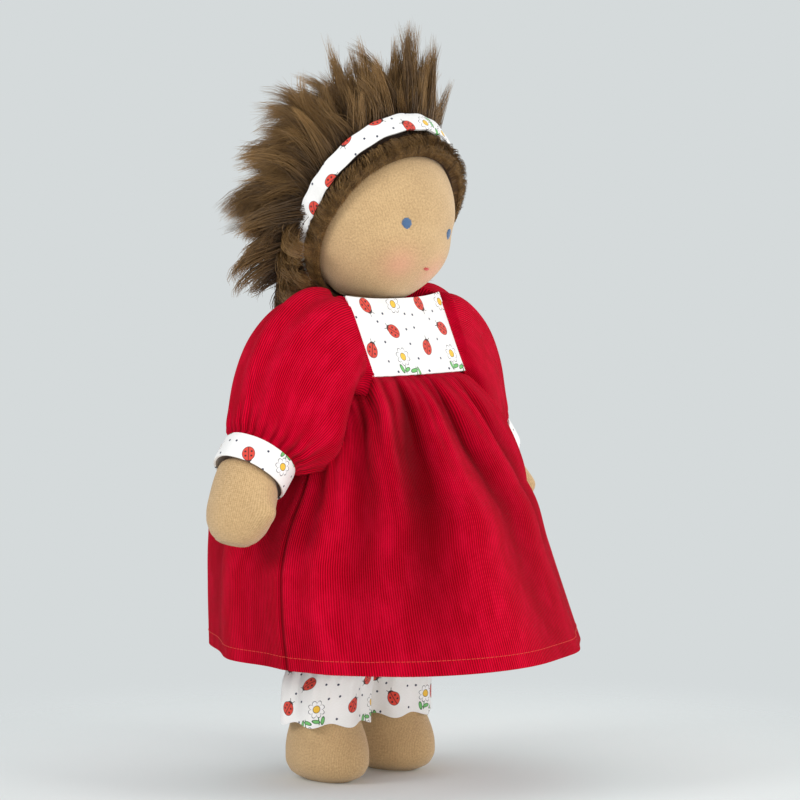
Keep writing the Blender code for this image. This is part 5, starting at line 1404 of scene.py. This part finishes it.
def make_studio():
    """A pale floor that fades into an even pale backdrop, and plain soft light."""
    mesh = bpy.data.meshes.new("floor")
    steps = [math.tau * step / 64 for step in range(64)]
    rim = [(1.2 * math.cos(step), 1.2 * math.sin(step), 0.0) for step in steps]
    mesh.from_pydata(rim, [], [tuple(range(64))])
    finish = bpy.data.materials.new("floor")
    finish.use_nodes = True
    tree = finish.node_tree
    tree.nodes.clear()
    place = tree.nodes.new("ShaderNodeTexCoord")
    far = tree.nodes.new("ShaderNodeVectorMath")
    far.operation = "LENGTH"
    fade = tree.nodes.new("ShaderNodeMapRange")
    fade.interpolation_type = "SMOOTHSTEP"
    fade.inputs[1].default_value, fade.inputs[2].default_value = 0.16, 0.42
    plain = tree.nodes.new("ShaderNodeBsdfDiffuse")
    plain.inputs["Color"].default_value = (0.77, 0.80, 0.785, 1.0)
    clear = tree.nodes.new("ShaderNodeBsdfTransparent")
    blend = tree.nodes.new("ShaderNodeMixShader")
    end = tree.nodes.new("ShaderNodeOutputMaterial")
    tree.links.new(place.outputs["Object"], far.inputs[0])
    tree.links.new(far.outputs[1], fade.inputs[0])
    tree.links.new(fade.outputs[0], blend.inputs[0])
    tree.links.new(plain.outputs[0], blend.inputs[1])
    tree.links.new(clear.outputs[0], blend.inputs[2])
    tree.links.new(blend.outputs[0], end.inputs[0])
    new_object("floor", mesh, finish)
    world = bpy.data.worlds.new("studio")
    bpy.context.scene.world = world
    world.use_nodes = True
    tree = world.node_tree
    tree.nodes.clear()
    rays = tree.nodes.new("ShaderNodeLightPath")
    seen = tree.nodes.new("ShaderNodeMath")
    seen.operation = "MAXIMUM"
    tree.links.new(rays.outputs["Is Camera Ray"], seen.inputs[0])
    tree.links.new(rays.outputs["Is Glossy Ray"], seen.inputs[1])
    light = tree.nodes.new("ShaderNodeBackground")
    light.inputs[0].default_value = (0.94, 0.97, 1.0, 1.0)
    light.inputs[1].default_value = 0.76
    shown = tree.nodes.new("ShaderNodeBackground")
    shown.inputs[0].default_value = (*BACKGROUND, 1.0)
    shown.inputs[1].default_value = 1.0
    blend = tree.nodes.new("ShaderNodeMixShader")
    end = tree.nodes.new("ShaderNodeOutputWorld")
    tree.links.new(seen.outputs[0], blend.inputs[0])
    tree.links.new(light.outputs[0], blend.inputs[1])
    tree.links.new(shown.outputs[0], blend.inputs[2])
    tree.links.new(blend.outputs[0], end.inputs[0])
    make_lamp("key", (0.40, -1.50, 1.10), 0.6, 7.0, (1.0, 0.98, 0.95))
    make_lamp("low", (-0.80, -1.35, 0.06), 0.8, 11.5, (1.0, 0.98, 0.95))
    make_lamp("side", (-1.50, 0.50, 0.90), 0.6, 9.5, (0.98, 0.99, 1.0))
    make_lamp("far_side", (1.25, -0.60, 0.45), 0.8, 5.0, (0.98, 0.99, 1.0))


def finish_node(name, finish):
    """A carried-over CAD piece with a detailed finish."""
    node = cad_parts[name]
    node.data.materials.clear()
    node.data.materials.append(finish)


bpy.context.scene.view_settings.view_transform = "Standard"
make_camera()
make_studio()
make_torso()
make_neck()
make_head()
satin("eye_satin_r", -25.0, -5.5, 0.0030, 0.0030, 9, 12.0, BLUE, "eye_r")
satin("eye_satin_l", 24.3, -5.0, 0.0029, 0.0029, 9, -12.0, BLUE, "eye_l")
satin("mouth_satin", 9.0, -34.0, 0.0025, 0.0008, 3, 4.0, RED, "mouth")
for side, label in ((-1, "r"), (1, "l")):
    make_arm(side, label)
    make_leg(side, label)
    make_cuff(side, label)
    make_sleeve(side, label)
    make_bloomers(side, label)
    half_skirt = make_skirt(side, label)
    stitches = make_hem_stitches(side, label)
make_front_yoke()
make_yoke("yoke_back_l_print", -1.0, 0.0, math.pi, 40, 0.0, 0.0004, (0.019, 0.011))
make_yoke("yoke_back_r_print", 0.0, 1.0, math.pi, 40, 0.0004, 0.0, (0.002, 0.021))
make_seat()
make_cap()
make_headband()
random_draws = np.random.default_rng(7)
QUARTER = math.pi / 2
NAPE_START, NAPE_END = math.radians(196.0), math.radians(344.0)
for step, label in enumerate(("left_top", "right_top", "right_nape", "left_nape")):
    for part in range(2):
        share = step + part / 2
        name = "wild_hair_%s_%d" % (label, part + 1)
        make_wild_hair(name, random_draws, QUARTER * share, QUARTER * (share + 0.5))
make_nape_hair("nape_hair_r", random_draws, NAPE_START, 3 * QUARTER)
make_nape_hair("nape_hair_l", random_draws, 3 * QUARTER, NAPE_END)
make_fringe("fringe_hair_r", random_draws, QUARTER, 3 * QUARTER)
make_fringe("fringe_hair_l", random_draws, -QUARTER, QUARTER)
finish_node("neck_tie", TIE)
finish_node("back_stud_upper", STUD)
finish_node("back_stud_lower", STUD)
for label in ("waist_elastic", "ankle_elastic_r", "ankle_elastic_l"):
    finish_node(label, ELASTIC)
